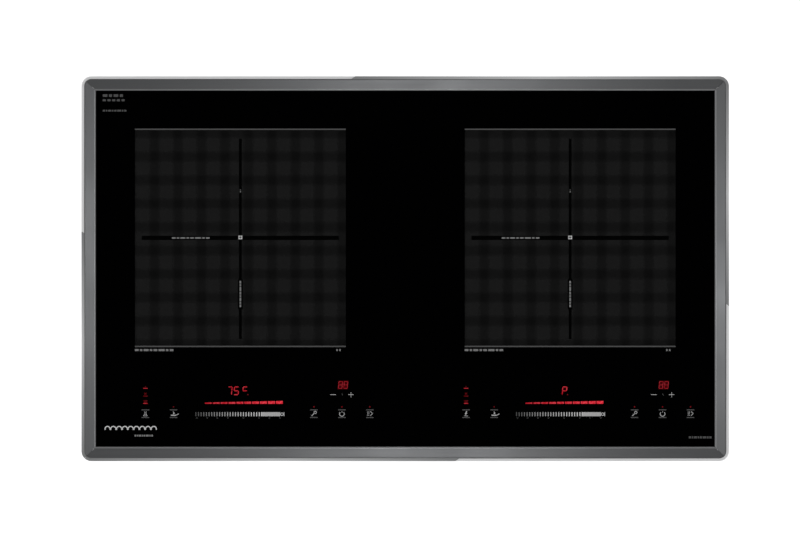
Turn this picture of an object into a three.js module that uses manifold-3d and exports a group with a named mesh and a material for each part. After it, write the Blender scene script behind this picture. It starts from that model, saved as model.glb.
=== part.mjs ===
// Two-zone electric induction cooktop that drops into a worktop cut-out.
//
// Units are millimetres: +X to the cook's right, +Y to the back, +Z up.
// The origin is under the middle of the casing, on the plane that the feet stand on.

import * as THREE from 'three';
import { mergeVertices } from 'three/addons/utils/BufferGeometryUtils.js';
import Module from 'manifold-3d';

const wasm = await Module();
wasm.setup();

// ---------------------------------------------------------------- driving dimensions

const LENGTH = 740;               // over the frame, along X
const DEPTH = 440;                // over the frame, along Y
const CUTOUT_LENGTH = 700;        // hole in the worktop
const CUTOUT_DEPTH = 400;
const WORKTOP_THICKNESS = 30;     // what the parked clamps are set for

const FOOT_HEIGHT = 8;
const CASING_LENGTH = 680;
const CASING_DEPTH = 380;
const CASING_HEIGHT = 62.4;
const SHEET = 1.2;                // casing steel

const FACE_WIDTH = 16.6;          // frame seen from above, from its outer edge to the glass
const RIM_WIDTH = 3.5;
const GROOVE_WIDTH = 0.8;
const EDGE_WIDTH = 1.2;           // small chamfer that runs down to the glass
const CORNER_RADIUS = 11.5;
const GLASS_THICKNESS = 4;

const ZONE_X = 188.2;             // middle of each cooking zone, left and right of the centre
const ZONE_Y = 35.7;
const COIL_RADIUS = 105;

const GAP = 0.3;                  // left between pieces that are cut to fit each other
const TOUCH = 0.1;                // left between pieces that lie flat on each other

// ---------------------------------------------------------------- heights that follow

const FLOOR_TOP = FOOT_HEIGHT + SHEET;
const FLANGE_TOP = FOOT_HEIGHT + CASING_HEIGHT;
const FRAME_BASE = FLANGE_TOP + TOUCH;
const LEDGE_TOP = FRAME_BASE + 3;
const RIM_TOP = FRAME_BASE + 5.1;
const BEVEL_TOP = FRAME_BASE + 8.4;
const GLASS_BASE = LEDGE_TOP + 0.9;
const GLASS_TOP = GLASS_BASE + GLASS_THICKNESS;
const WORKTOP_TOP = FRAME_BASE - 2;
const CLAW_TOP = WORKTOP_TOP - WORKTOP_THICKNESS - 0.5;

const LEDGE_WIDTH = FACE_WIDTH + 9.4;
const BEVEL_START = RIM_WIDTH + GROOVE_WIDTH;

const SIDES = [
  { name: 'left', sign: -1 },
  { name: 'right', sign: 1 },
];
const CORNERS = [
  { name: 'front_left', sx: -1, sy: -1 },
  { name: 'front_right', sx: 1, sy: -1 },
  { name: 'back_left', sx: -1, sy: 1 },
  { name: 'back_right', sx: 1, sy: 1 },
];

// ---------------------------------------------------------------- materials

const finish = (color, roughness, metalness) => () =>
  new THREE.MeshStandardMaterial({ color, roughness, metalness });

const blackGlass = finish(0x050505, 0.05, 0);
const gunmetal = finish(0x5c5e60, 0.35, 1);
const polishedTrim = finish(0xd2d4d6, 0.15, 1);
const silicone = finish(0x1a1a1c, 0.7, 0);
const foamRubber = finish(0x242426, 0.9, 0);
const zincSheet = finish(0x9a9c9e, 0.45, 0.8);
const spring = finish(0xb0b2b4, 0.3, 1);
const copper = finish(0xa8623a, 0.4, 0.9);
const ferrite = finish(0x2e2e30, 0.6, 0.1);
const mica = finish(0xb8b0a0, 0.6, 0);
const plastic = finish(0x1e1e20, 0.5, 0);
const circuitBoard = finish(0x1f5a34, 0.5, 0);
const aluminium = finish(0xb8babc, 0.35, 1);
const displayWindow = finish(0x5a0c0c, 0.3, 0);

// ---------------------------------------------------------------- geometry helpers

function signedVolume(positions, index) {
  const a = new THREE.Vector3();
  const b = new THREE.Vector3();
  const c = new THREE.Vector3();
  let volume = 0;
  for (let i = 0; i < index.length; i += 3) {
    a.fromArray(positions, 3 * index[i]);
    b.fromArray(positions, 3 * index[i + 1]);
    c.fromArray(positions, 3 * index[i + 2]);
    volume += a.dot(b.cross(c)) / 6;
  }
  return volume;
}

// A closed three.js geometry as a solid, with its faces turned outwards.
function solid(geometry) {
  const bare = geometry.clone();
  bare.deleteAttribute('normal');
  bare.deleteAttribute('uv');
  const merged = mergeVertices(bare);
  const vertProperties = new Float32Array(merged.attributes.position.array);
  const triVerts = new Uint32Array(merged.index.array);
  if (signedVolume(vertProperties, triVerts) < 0) {
    triVerts.reverse();
  }
  return new wasm.Manifold(new wasm.Mesh({ numProp: 3, vertProperties, triVerts }));
}

function geometryOf(body) {
  const { vertProperties, triVerts } = body.getMesh();
  const geometry = new THREE.BufferGeometry();
  geometry.setAttribute('position', new THREE.BufferAttribute(vertProperties, 3));
  geometry.setIndex(new THREE.BufferAttribute(triVerts, 1));
  geometry.computeVertexNormals();
  return geometry;
}

const join = (bodies) => bodies.reduce((whole, body) => whole.add(body));
const cut = (body, tools) => tools.reduce((rest, tool) => rest.subtract(tool), body);

function piece(name, body, material) {
  const mesh = new THREE.Mesh(geometryOf(body), material());
  mesh.name = name;
  return mesh;
}

function group(...children) {
  const holder = new THREE.Group();
  holder.add(...children);
  return holder;
}

// A box between two corners.
function block(x0, x1, y0, y1, z0, z1) {
  const geometry = new THREE.BoxGeometry(x1 - x0, y1 - y0, z1 - z0);
  geometry.translate((x0 + x1) / 2, (y0 + y1) / 2, (z0 + z1) / 2);
  return solid(geometry);
}

// A box given by its middle and its size in plan.
function pad(x, y, width, depth, z0, z1) {
  return block(x - width / 2, x + width / 2, y - depth / 2, y + depth / 2, z0, z1);
}

// A flat outline raised between two heights.
function prism(shape, z0, z1, curveSegments = 6) {
  const depth = z1 - z0;
  const geometry = new THREE.ExtrudeGeometry(shape, { depth, bevelEnabled: false, curveSegments });
  geometry.translate(0, 0, z0);
  return solid(geometry);
}

function polygon(points) {
  return new THREE.Shape(points.map(([x, y]) => new THREE.Vector2(x, y)));
}

function roundedRectangle(halfX, halfY, radius) {
  const shape = new THREE.Shape();
  shape.absarc(halfX - radius, halfY - radius, radius, 0, Math.PI / 2);
  shape.absarc(radius - halfX, halfY - radius, radius, Math.PI / 2, Math.PI);
  shape.absarc(radius - halfX, radius - halfY, radius, Math.PI, 1.5 * Math.PI);
  shape.absarc(halfX - radius, radius - halfY, radius, 1.5 * Math.PI, 2 * Math.PI);
  return shape;
}

// The outline of the cooktop drawn in by an inset, with corners that stay concentric.
function insetOutline(inset) {
  const radius = CORNER_RADIUS - inset;
  const halfX = LENGTH / 2 - inset;
  const halfY = DEPTH / 2 - inset;
  if (radius <= 0) {
    return polygon([[-halfX, -halfY], [halfX, -halfY], [halfX, halfY], [-halfX, halfY]]);
  }
  return roundedRectangle(halfX, halfY, radius);
}

const insetPrism = (inset, z0, z1) => prism(insetOutline(inset), z0, z1);

// The four-sided roof between two inset rectangles, used for bevels.
function insetRoof(lowInset, highInset, z0, z1) {
  const geometry = new THREE.BoxGeometry(LENGTH - 2 * lowInset, DEPTH - 2 * lowInset, z1 - z0);
  const position = geometry.attributes.position;
  for (let i = 0; i < position.count; i += 1) {
    if (position.getZ(i) > 0) {
      position.setX(i, Math.sign(position.getX(i)) * (LENGTH / 2 - highInset));
      position.setY(i, Math.sign(position.getY(i)) * (DEPTH / 2 - highInset));
    }
  }
  geometry.translate(0, 0, (z0 + z1) / 2);
  return solid(geometry);
}

// A turned piece about Z from its half section, given as [radius, height] points.
function turned(section, segments = 16) {
  const points = section.map(([radius, height]) => new THREE.Vector2(radius, height));
  const geometry = new THREE.LatheGeometry(points, segments);
  geometry.rotateX(Math.PI / 2);
  return solid(geometry);
}

const rod = (radius, z0, z1, segments = 16) =>
  turned([[0, z0], [radius, z0], [radius, z1], [0, z1]], segments);

const washer = (inner, outer, z0, z1, segments = 32) =>
  turned([[inner, z0], [outer, z0], [outer, z1], [inner, z1], [inner, z0]], segments);

// A slot with round ends that runs along X.
function slotOutline(length, width) {
  const shape = new THREE.Shape();
  const reach = (length - width) / 2;
  shape.absarc(reach, 0, width / 2, -Math.PI / 2, Math.PI / 2);
  shape.absarc(-reach, 0, width / 2, Math.PI / 2, 1.5 * Math.PI);
  return shape;
}

// ---------------------------------------------------------------- frame and trims

// Polished trims wrap two opposite corners. Each ends in a slanted cut, given where it
// meets the outer edge and by how far it has moved where it has gone 1 mm inwards.
const TRIM_BACK_END = -57;
const TRIM_BACK_SLANT = -1.45;
const TRIM_SIDE_END = 42.8;
const TRIM_SIDE_SLANT = -0.76;
const TRIM_HEIGHT = 3.3;
const RIM_CHAMFER = 0.5;
const GROOVE_DEPTH = 0.45;

// L-shaped keys lie in a channel under the frame and pull its mitres together.
const KEY_INSET = 14;
const KEY_WIDTH = 5.4;
const KEY_HEIGHT = 1.5;
const KEY_LEG = 34;

function trimMask(clearance) {
  const overrun = 2;
  const reach = 20;
  const left = -LENGTH / 2;
  const back = DEPTH / 2;
  const backEnd = TRIM_BACK_END + clearance;
  const sideEnd = TRIM_SIDE_END - clearance;
  const outline = polygon([
    [left - overrun, back + overrun],
    [backEnd - overrun * TRIM_BACK_SLANT, back + overrun],
    [backEnd + reach * TRIM_BACK_SLANT, back - reach],
    [left + reach, back - reach],
    [left + reach, sideEnd + reach * TRIM_SIDE_SLANT],
    [left - overrun, sideEnd - overrun * TRIM_SIDE_SLANT],
  ]);
  return prism(outline, RIM_TOP - TRIM_HEIGHT - clearance, RIM_TOP + overrun);
}

// The rim is a solid plate with its upper outer edge chamfered.
function rimPlate() {
  const extra = 2;
  const geometry = new THREE.ExtrudeGeometry(insetOutline(0), {
    depth: RIM_TOP - FRAME_BASE + extra - RIM_CHAMFER,
    bevelThickness: RIM_CHAMFER,
    bevelSize: RIM_CHAMFER,
    bevelOffset: -RIM_CHAMFER,
    bevelSegments: 1,
    curveSegments: 6,
  });
  geometry.translate(0, 0, FRAME_BASE - extra);
  return solid(geometry).intersect(insetPrism(-1, FRAME_BASE, BEVEL_TOP));
}

function frameRing() {
  const buried = 0.5;
  const slope = (FACE_WIDTH - EDGE_WIDTH - BEVEL_START) / (BEVEL_TOP - RIM_TOP);
  const roof = insetRoof(BEVEL_START - buried * slope, FACE_WIDTH - EDGE_WIDTH, RIM_TOP - buried, BEVEL_TOP)
    .intersect(insetPrism(BEVEL_START, RIM_TOP - 2, BEVEL_TOP + 1));
  const groove = insetPrism(RIM_WIDTH, RIM_TOP - GROOVE_DEPTH, BEVEL_TOP)
    .subtract(insetPrism(BEVEL_START, FRAME_BASE, BEVEL_TOP + 1));
  const edgeHeight = 0.4;
  const edge = insetRoof(
    FACE_WIDTH,
    FACE_WIDTH - 2 * EDGE_WIDTH,
    BEVEL_TOP - edgeHeight,
    BEVEL_TOP + edgeHeight,
  );
  const keyChannel = insetPrism(KEY_INSET - GAP, FRAME_BASE - 1, FRAME_BASE + KEY_HEIGHT + GAP)
    .subtract(insetPrism(KEY_INSET + KEY_WIDTH + GAP, FRAME_BASE - 2, LEDGE_TOP));
  const rebate = insetPrism(-1, FRAME_BASE, BEVEL_TOP)
    .subtract(insetPrism(RIM_WIDTH, FRAME_BASE - 1, BEVEL_TOP + 1))
    .intersect(trimMask(GAP));
  return cut(rimPlate(), [groove]).add(roof).subtract(join([
    insetPrism(FACE_WIDTH, LEDGE_TOP, BEVEL_TOP + 1),
    insetPrism(LEDGE_WIDTH, FRAME_BASE - 1, BEVEL_TOP),
    edge,
    keyChannel,
    rebate,
    rebate.rotate([0, 0, 180]),
  ]));
}

// The stretch of the frame between two mitres.
function mitreWedge(alongX, sign) {
  const halfGap = GAP / 2 * Math.SQRT2;
  const along = (alongX ? LENGTH : DEPTH) / 2 - halfGap;
  const across = (alongX ? DEPTH : LENGTH) / 2;
  const overrun = 2;
  const reach = LEDGE_WIDTH + 4;
  const outline = [
    [-along - overrun, across + overrun],
    [along + overrun, across + overrun],
    [along - reach, across - reach],
    [reach - along, across - reach],
  ];
  return prism(
    polygon(outline.map(([p, q]) => (alongX ? [p, sign * q] : [sign * q, p]))),
    FRAME_BASE - 1,
    BEVEL_TOP + 1,
  );
}

function frameMembers() {
  const ring = frameRing();
  const members = [
    { name: 'frame_front', alongX: true, sign: -1 },
    { name: 'frame_back', alongX: true, sign: 1 },
    { name: 'frame_left', alongX: false, sign: -1 },
    { name: 'frame_right', alongX: false, sign: 1 },
  ];
  return members.map(({ name, alongX, sign }) =>
    piece(name, ring.intersect(mitreWedge(alongX, sign)), gunmetal));
}

function cornerTrim(name) {
  const body = rimPlate()
    .subtract(insetPrism(RIM_WIDTH - GAP, FRAME_BASE - 1, BEVEL_TOP))
    .intersect(trimMask(0));
  return piece(name, body, polishedTrim);
}

function cornerKey({ name, sx, sy }) {
  const outerX = LENGTH / 2 - KEY_INSET;
  const outerY = DEPTH / 2 - KEY_INSET;
  const outline = [
    [outerX, outerY],
    [outerX - KEY_LEG, outerY],
    [outerX - KEY_LEG, outerY - KEY_WIDTH],
    [outerX - KEY_WIDTH, outerY - KEY_WIDTH],
    [outerX - KEY_WIDTH, outerY - KEY_LEG],
    [outerX, outerY - KEY_LEG],
  ];
  const body = prism(
    polygon(outline.map(([x, y]) => [sx * x, sy * y])),
    FRAME_BASE + TOUCH,
    FRAME_BASE + KEY_HEIGHT,
  );
  return piece(`corner_key_${name}`, body, aluminium);
}

// ---------------------------------------------------------------- glass and seals

function glassPlate() {
  const body = insetPrism(FACE_WIDTH + GAP, GLASS_BASE, GLASS_TOP);
  return piece('glass_plate', body, blackGlass);
}

function glassBond() {
  const inset = FACE_WIDTH + 1.4;
  const body = insetPrism(inset, LEDGE_TOP + TOUCH, GLASS_BASE - TOUCH)
    .subtract(insetPrism(LEDGE_WIDTH - 1, FRAME_BASE, GLASS_TOP));
  return piece('glass_bond', body, silicone);
}

// Foam strips under the frame rest on the worktop.
function worktopSeals() {
  const edge = 4;
  const width = 8;
  const longHalf = LENGTH / 2 - edge;
  const shortHalf = DEPTH / 2 - edge;
  const strips = [];
  for (const [name, sign] of [['front', -1], ['back', 1]]) {
    const middle = sign * (shortHalf - width / 2);
    const body = pad(0, middle, 2 * longHalf, width, WORKTOP_TOP, FLANGE_TOP);
    strips.push(piece(`worktop_seal_${name}`, body, foamRubber));
  }
  for (const { name, sign } of SIDES) {
    const middle = sign * (longHalf - width / 2);
    const body = pad(middle, 0, width, 2 * (shortHalf - width - GAP), WORKTOP_TOP, FLANGE_TOP);
    strips.push(piece(`worktop_seal_${name}`, body, foamRubber));
  }
  return strips;
}

// ---------------------------------------------------------------- casing

const FAN_Y = -90;
const FAN_SIZE = 92;
const GLAND_X = 308;
const GLAND_Z = 27;
const GLAND_THREAD = 8;
const GLAND_BORE = 5;
const GLAND_FLANGE = 11.5;
const GLAND_NUT = 9.5;
const GLAND_PLATE_START = 276;
const GLAND_PLATE_OVERLAP = 6;
const FOOT_X = 305;
const FOOT_Y = 155;
const FOOT_RADIUS = 11.5;
const VENT_SLOT = 5;
const WALL_VENT_BASE = FLOOR_TOP + 14;
const WALL_VENT_HEIGHT = 28;

// Slots cut in a round patch under each fan, in rows that follow the circle.
function intakeGrille(x) {
  const radius = FAN_SIZE / 2 - 2;
  const pitch = 9.5;
  const rib = 5;
  const slots = [];
  for (let row = -4; row <= 4; row += 1) {
    const y = row * pitch;
    const length = Math.sqrt(radius ** 2 - y ** 2) - rib / 2;
    for (const sign of [-1, 1]) {
      const slot = prism(slotOutline(length, VENT_SLOT), FOOT_HEIGHT - 1, FLOOR_TOP + 1, 3);
      slots.push(slot.translate([x + sign * (rib + length) / 2, FAN_Y + y, 0]));
    }
  }
  return slots;
}

// Upright slots in the front and back walls let the warm air out.
function wallVents(x, wallY) {
  const count = 9;
  const pitch = 13;
  const top = WALL_VENT_BASE + WALL_VENT_HEIGHT;
  const slots = [];
  for (let i = 0; i < count; i += 1) {
    const offset = (i - (count - 1) / 2) * pitch;
    slots.push(pad(x + offset, wallY, VENT_SLOT, 3 * SHEET, WALL_VENT_BASE, top));
  }
  return slots;
}

function baseTray() {
  const halfX = CASING_LENGTH / 2;
  const halfY = CASING_DEPTH / 2;
  const radius = 6;
  const flangeX = CUTOUT_LENGTH / 2 - 1;
  const flangeY = CUTOUT_DEPTH / 2 - 1;
  const shell = prism(roundedRectangle(halfX, halfY, radius), FOOT_HEIGHT, FLANGE_TOP, 3);
  const flange = prism(roundedRectangle(flangeX, flangeY, radius), FLANGE_TOP - SHEET, FLANGE_TOP, 3);
  const hollow = prism(
    roundedRectangle(halfX - SHEET, halfY - SHEET, radius - SHEET),
    FLOOR_TOP,
    FLANGE_TOP + 1,
    3,
  );
  const connectionOpening = block(
    GLAND_PLATE_START + GLAND_PLATE_OVERLAP,
    halfX - radius,
    halfY - 2 * SHEET,
    halfY + SHEET,
    FLOOR_TOP,
    FLANGE_TOP - SHEET,
  );
  const vents = SIDES.flatMap(({ sign }) => [
    ...intakeGrille(sign * ZONE_X),
    ...wallVents(sign * ZONE_X, halfY - SHEET / 2),
    ...wallVents(sign * ZONE_X, SHEET / 2 - halfY),
  ]);
  return piece('base_tray', cut(shell.add(flange), [hollow, connectionOpening, ...vents]), zincSheet);
}

// The connection plate closes the cut-away end of the back wall and holds the gland.
function connectionPlate() {
  const y0 = CASING_DEPTH / 2 + TOUCH;
  const hole = rod(GLAND_THREAD + GAP, -5, 5).rotate([90, 0, 0]).translate([GLAND_X, y0, GLAND_Z]);
  const body = block(
    GLAND_PLATE_START,
    CASING_LENGTH / 2 - GAP,
    y0,
    y0 + SHEET,
    FOOT_HEIGHT + GAP,
    FLANGE_TOP - SHEET - GAP,
  ).subtract(hole);
  return piece('connection_plate', body, zincSheet);
}

// The gland is drawn along +Z, and turned to point out of the back.
function cableGland() {
  const outside = SHEET + 2 * TOUCH;
  const body = turned([
    [GLAND_BORE, -14],
    [GLAND_THREAD, -14],
    [GLAND_THREAD, outside],
    [GLAND_FLANGE, outside],
    [GLAND_FLANGE, outside + 6],
    [GLAND_NUT, outside + 8],
    [GLAND_NUT, outside + 13],
    [GLAND_THREAD, outside + 15],
    [GLAND_BORE, outside + 15],
    [GLAND_BORE, -14],
  ]);
  const gland = piece('cable_gland', body, plastic);
  gland.rotation.x = -Math.PI / 2;
  gland.position.set(GLAND_X, CASING_DEPTH / 2, GLAND_Z);
  return gland;
}

function foot({ name, sx, sy }) {
  const top = FOOT_HEIGHT - TOUCH;
  const body = turned([[0, 3.5], [4, 3.5], [4, 0], [9, 0], [10.5, 1.5], [FOOT_RADIUS, top], [0, top]]);
  const mesh = piece(`foot_${name}`, body, silicone);
  mesh.position.set(sx * FOOT_X, sy * FOOT_Y, 0);
  return mesh;
}

// ---------------------------------------------------------------- worktop clamps

const CLAMP_X = CASING_LENGTH / 2 + 6;
const CLAMP_Y = 125;
const CLAW_THICKNESS = 2.5;
const CLAW_HALF_WIDTH = 3.8;
const CLAW_REACH = 19.6;
const SCREW_RADIUS = 2.2;
const BRACKET_SHEET = 1.5;
const HUB_BELOW = 4;
const HUB_ABOVE = 5;
const TAB_CLEARANCE = 0.5;
const TIP_RISE = 0.4;

// A channel riveted to the side wall holds the screw above and below the claw.
function clampBracket() {
  const low = CLAW_TOP - CLAW_THICKNESS - HUB_BELOW - TAB_CLEARANCE - BRACKET_SHEET;
  const high = CLAW_TOP + HUB_ABOVE + TAB_CLEARANCE;
  const back = CASING_LENGTH / 2 + TOUCH - CLAMP_X;
  const out = 3.8;
  const width = 14;
  const tabs = [low, high].map((z) => block(back, out, -width / 2, width / 2, z, z + BRACKET_SHEET));
  const plate = block(back, back + BRACKET_SHEET, -width / 2, width / 2, low, high + BRACKET_SHEET);
  const hole = rod(SCREW_RADIUS + GAP, low - 1, high + BRACKET_SHEET + 1, 12);
  return join([plate, ...tabs]).subtract(hole);
}

function clampScrew() {
  const head = CLAW_TOP + HUB_ABOVE + TAB_CLEARANCE + BRACKET_SHEET + TOUCH;
  const tip = CLAW_TOP - CLAW_THICKNESS - HUB_BELOW - 8;
  const headRadius = 3.9;
  const headHeight = 3.2;
  const rounding = 0.6;
  return turned([
    [0, tip],
    [SCREW_RADIUS - rounding, tip],
    [SCREW_RADIUS, tip + rounding],
    [SCREW_RADIUS, head],
    [headRadius, head],
    [headRadius, head + headHeight - rounding],
    [headRadius - rounding, head + headHeight],
    [0, head + headHeight],
  ], 12);
}

// The claw turns on the screw. Its arm points along +Y, and carries a raised tip.
function clampClaw() {
  const arm = prism(slotOutline(CLAW_REACH + 2 * CLAW_HALF_WIDTH, 2 * CLAW_HALF_WIDTH), 0, CLAW_THICKNESS, 6)
    .translate([CLAW_REACH / 2, 0, CLAW_TOP - CLAW_THICKNESS])
    .rotate([0, 0, 90]);
  const hub = rod(CLAW_HALF_WIDTH, CLAW_TOP - CLAW_THICKNESS - HUB_BELOW, CLAW_TOP + HUB_ABOVE, 12);
  const tipSize = 5;
  const tip = pad(0, CLAW_REACH - 1, tipSize, tipSize, CLAW_TOP - 1, CLAW_TOP + TIP_RISE);
  const bore = rod(SCREW_RADIUS + GAP, 0, WORKTOP_TOP, 12);
  return join([arm, hub, tip]).subtract(bore);
}

function clamp({ name, sx, sy }) {
  const parts = [
    piece(`clamp_bracket_${name}`, clampBracket().scale([sx, 1, 1]), zincSheet),
    piece(`clamp_screw_${name}`, clampScrew(), spring),
    piece(`clamp_claw_${name}`, clampClaw().scale([1, -sy, 1]), spring),
  ];
  const assembly = group(...parts);
  assembly.position.set(sx * CLAMP_X, sy * CLAMP_Y, 0);
  return assembly;
}

// ---------------------------------------------------------------- cooking zone

const PLATE_TOP = GLASS_BASE - 15.9;
const PLATE_THICKNESS = 1.5;
const PLATE_HALF_LENGTH = 331;
const PLATE_LEG_WIDTH = 6;
const FERRITE_THICKNESS = 5.2;
const CARRIER_RADIUS = COIL_RADIUS + 7;
const CARRIER_HUB = 14;
const WINDING_START = 30;
const SENSOR_RADIUS = 7;

// One aluminium plate on six legs carries both coils and shields the boards.
function coilPlate() {
  const halfX = PLATE_HALF_LENGTH;
  const legX = halfX - PLATE_LEG_WIDTH / 2;
  const y0 = ZONE_Y - CARRIER_RADIUS - 6;
  const y1 = ZONE_Y + CARRIER_RADIUS + 6;
  const base = PLATE_TOP - PLATE_THICKNESS;
  const sheet = block(-halfX, halfX, y0, y1, base, PLATE_TOP);
  const legs = [-1, 1].flatMap((sign) => [y0 + 4, ZONE_Y, y1 - 4].map((y) =>
    pad(sign * legX, y, PLATE_LEG_WIDTH, 8, FLOOR_TOP + TOUCH, PLATE_TOP)));
  const wireHoles = SIDES.map(({ sign }) =>
    rod(CARRIER_HUB, base - 1, PLATE_TOP + 1).translate([sign * ZONE_X, ZONE_Y, 0]));
  return piece('coil_plate', cut(join([sheet, ...legs]), wireHoles), aluminium);
}

function ferriteStar() {
  const z0 = PLATE_TOP + TOUCH;
  const z1 = z0 + FERRITE_THICKNESS;
  const barCount = 8;
  const ringInner = CARRIER_HUB + 2;
  const ringOuter = 30;
  const halfWidth = 7;
  const bars = [];
  for (let i = 0; i < barCount; i += 1) {
    const bar = block(ringInner + 6, COIL_RADIUS - 5, -halfWidth, halfWidth, z0, z1);
    bars.push(bar.rotate([0, 0, i * 360 / barCount]));
  }
  return join([washer(ringInner, ringOuter, z0, z1, 16), ...bars]);
}

// The carrier is a dished plastic wheel: a flat web with a raised rim and hub.
function coilCarrier() {
  const z0 = PLATE_TOP + FERRITE_THICKNESS + 4 * TOUCH;
  const web = z0 + 3.5;
  const rim = z0 + 6;
  const hubOuter = WINDING_START - 3;
  return turned([
    [CARRIER_HUB, z0],
    [CARRIER_RADIUS, z0],
    [CARRIER_RADIUS, rim],
    [COIL_RADIUS + 1, rim],
    [COIL_RADIUS + 1, web],
    [hubOuter, web],
    [hubOuter, rim],
    [CARRIER_HUB, rim],
    [CARRIER_HUB, z0],
  ], 32);
}

function coilZone({ name }) {
  const coilBase = PLATE_TOP + FERRITE_THICKNESS + 4.2;
  const coilTop = GLASS_BASE - 1.5;
  const winding = washer(WINDING_START, COIL_RADIUS, coilBase, coilTop);
  const insulation = washer(10, COIL_RADIUS, coilTop + TOUCH, GLASS_BASE - TOUCH);
  return [
    piece(`ferrite_star_${name}`, ferriteStar(), ferrite),
    piece(`coil_carrier_${name}`, coilCarrier(), plastic),
    piece(`coil_winding_${name}`, winding, copper),
    piece(`mica_sheet_${name}`, insulation, mica),
    piece(`temperature_sensor_${name}`, rod(SENSOR_RADIUS, PLATE_TOP - 6, GLASS_BASE - TOUCH), aluminium),
  ];
}

// ---------------------------------------------------------------- fans

const FAN_HEIGHT = 25;
const FAN_BASE = FLOOR_TOP + GAP;
const FAN_BORE = FAN_SIZE / 2 - 2.5;
const HUB_RADIUS = 17;
const SPIDER_HEIGHT = 4;

function fanHousing() {
  const top = FAN_BASE + FAN_HEIGHT;
  const half = FAN_SIZE / 2;
  const frame = prism(roundedRectangle(half, half, 4), FAN_BASE, top, 2)
    .subtract(rod(FAN_BORE, FAN_BASE - 1, top + 1, 28));
  const arms = [45, 135].map((angle) =>
    block(-FAN_BORE - 1, FAN_BORE + 1, -2, 2, FAN_BASE, FAN_BASE + 3).rotate([0, 0, angle]));
  const motor = rod(HUB_RADIUS - 1, FAN_BASE, FAN_BASE + SPIDER_HEIGHT);
  return join([frame, motor, ...arms]);
}

function fanRotor() {
  const base = FAN_BASE + SPIDER_HEIGHT + 1;
  const top = FAN_BASE + FAN_HEIGHT - 1.5;
  const bladeCount = 7;
  const reach = FAN_BORE - 1.5;
  const blades = [];
  for (let i = 0; i < bladeCount; i += 1) {
    const blade = block(HUB_RADIUS - 3, reach, -10, 10, -0.8, 0.8)
      .rotate([38, 0, 0])
      .translate([0, 0, (base + top) / 2])
      .rotate([0, 0, i * 360 / bladeCount]);
    blades.push(blade);
  }
  const sweep = rod(reach, base, top, 28);
  return join([rod(HUB_RADIUS, base, top), ...blades]).intersect(sweep);
}

function fan({ name, sign }) {
  const parts = [
    piece(`fan_housing_${name}`, fanHousing(), plastic),
    piece(`fan_rotor_${name}`, fanRotor(), plastic),
  ];
  const assembly = group(...parts);
  assembly.position.set(sign * ZONE_X, FAN_Y, 0);
  return assembly;
}

// ---------------------------------------------------------------- electronics

const BOARD_BASE = FLOOR_TOP + 7.8;
const BOARD_THICKNESS = 1.6;
const BOARD_TOP = BOARD_BASE + BOARD_THICKNESS;
const POST_INSET = 6;
const HEAT_SINK_DEPTH = 52;

// A populated board on four stand-offs, with its tall components as blocks.
function board(width, depth, components) {
  const posts = [-1, 1].flatMap((sx) => [-1, 1].map((sy) =>
    rod(3, FLOOR_TOP + TOUCH, BOARD_BASE + 0.5, 12)
      .translate([sx * (width / 2 - POST_INSET), sy * (depth / 2 - POST_INSET), 0])));
  const tall = components.map(([x, y, w, d, h]) => pad(x, y, w, d, BOARD_TOP - 0.5, BOARD_TOP + h));
  return join([pad(0, 0, width, depth, BOARD_BASE, BOARD_TOP), ...posts, ...tall]);
}

function powerBoard({ name, sign }) {
  // Each is [x, y, width, depth, height] from the middle of the board.
  const components = [
    [-70, 55, 32, 20, 26],
    [-30, 55, 32, 20, 26],
    [60, 50, 44, 30, 22],
    [-75, 15, 16, 24, 18],
  ];
  const mesh = piece(`power_board_${name}`, board(196, 150, components), circuitBoard);
  mesh.position.set(sign * ZONE_X, ZONE_Y + 22, 0);
  return mesh;
}

// A comb of fins that stand along Y, in the fan's stream.
function heatSink({ name, sign }) {
  const finCount = 11;
  const finPitch = 10;
  const finWidth = 2.5;
  const base = 4;
  const height = 27;
  const half = (finCount - 1) * finPitch / 2 + finWidth / 2;
  const outline = [[-half, 0]];
  for (let i = 0; i < finCount; i += 1) {
    const left = -half + i * finPitch;
    outline.push([left, height], [left + finWidth, height]);
    if (i < finCount - 1) {
      outline.push([left + finWidth, base], [left + finPitch, base]);
    }
  }
  outline.push([half, 0]);
  const body = prism(polygon(outline), -HEAT_SINK_DEPTH / 2, HEAT_SINK_DEPTH / 2).rotate([90, 0, 0]);
  const mesh = piece(`heat_sink_${name}`, body, aluminium);
  mesh.position.set(sign * ZONE_X, -14 + HEAT_SINK_DEPTH / 2, BOARD_TOP + TOUCH);
  return mesh;
}

function filterBoard() {
  const components = [
    [0, 22, 46, 18, 18],
    [-24, -18, 30, 30, 24],
    [24, -18, 30, 16, 20],
  ];
  const mesh = piece('filter_board', board(96, 84, components), circuitBoard);
  mesh.position.set(0, 120, 0);
  return mesh;
}

// ---------------------------------------------------------------- touch controls

const CONTROL_Y = -152;
const CONTROL_LEFT_X = -169;
const CONTROL_SPACING = 366;
const TRAY_BASE = GLASS_BASE - 10.4;
const TRAY_HALF_LENGTH = 326;
const TRAY_HALF_DEPTH = 32;
const DISPLAY_HEIGHT = 3;
const DISPLAY_LENGTH = 100;
const DISPLAY_DEPTH = 24;
const TOUCH_BOARD_LENGTH = 274;
const TOUCH_BOARD_DEPTH = 58;

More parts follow.
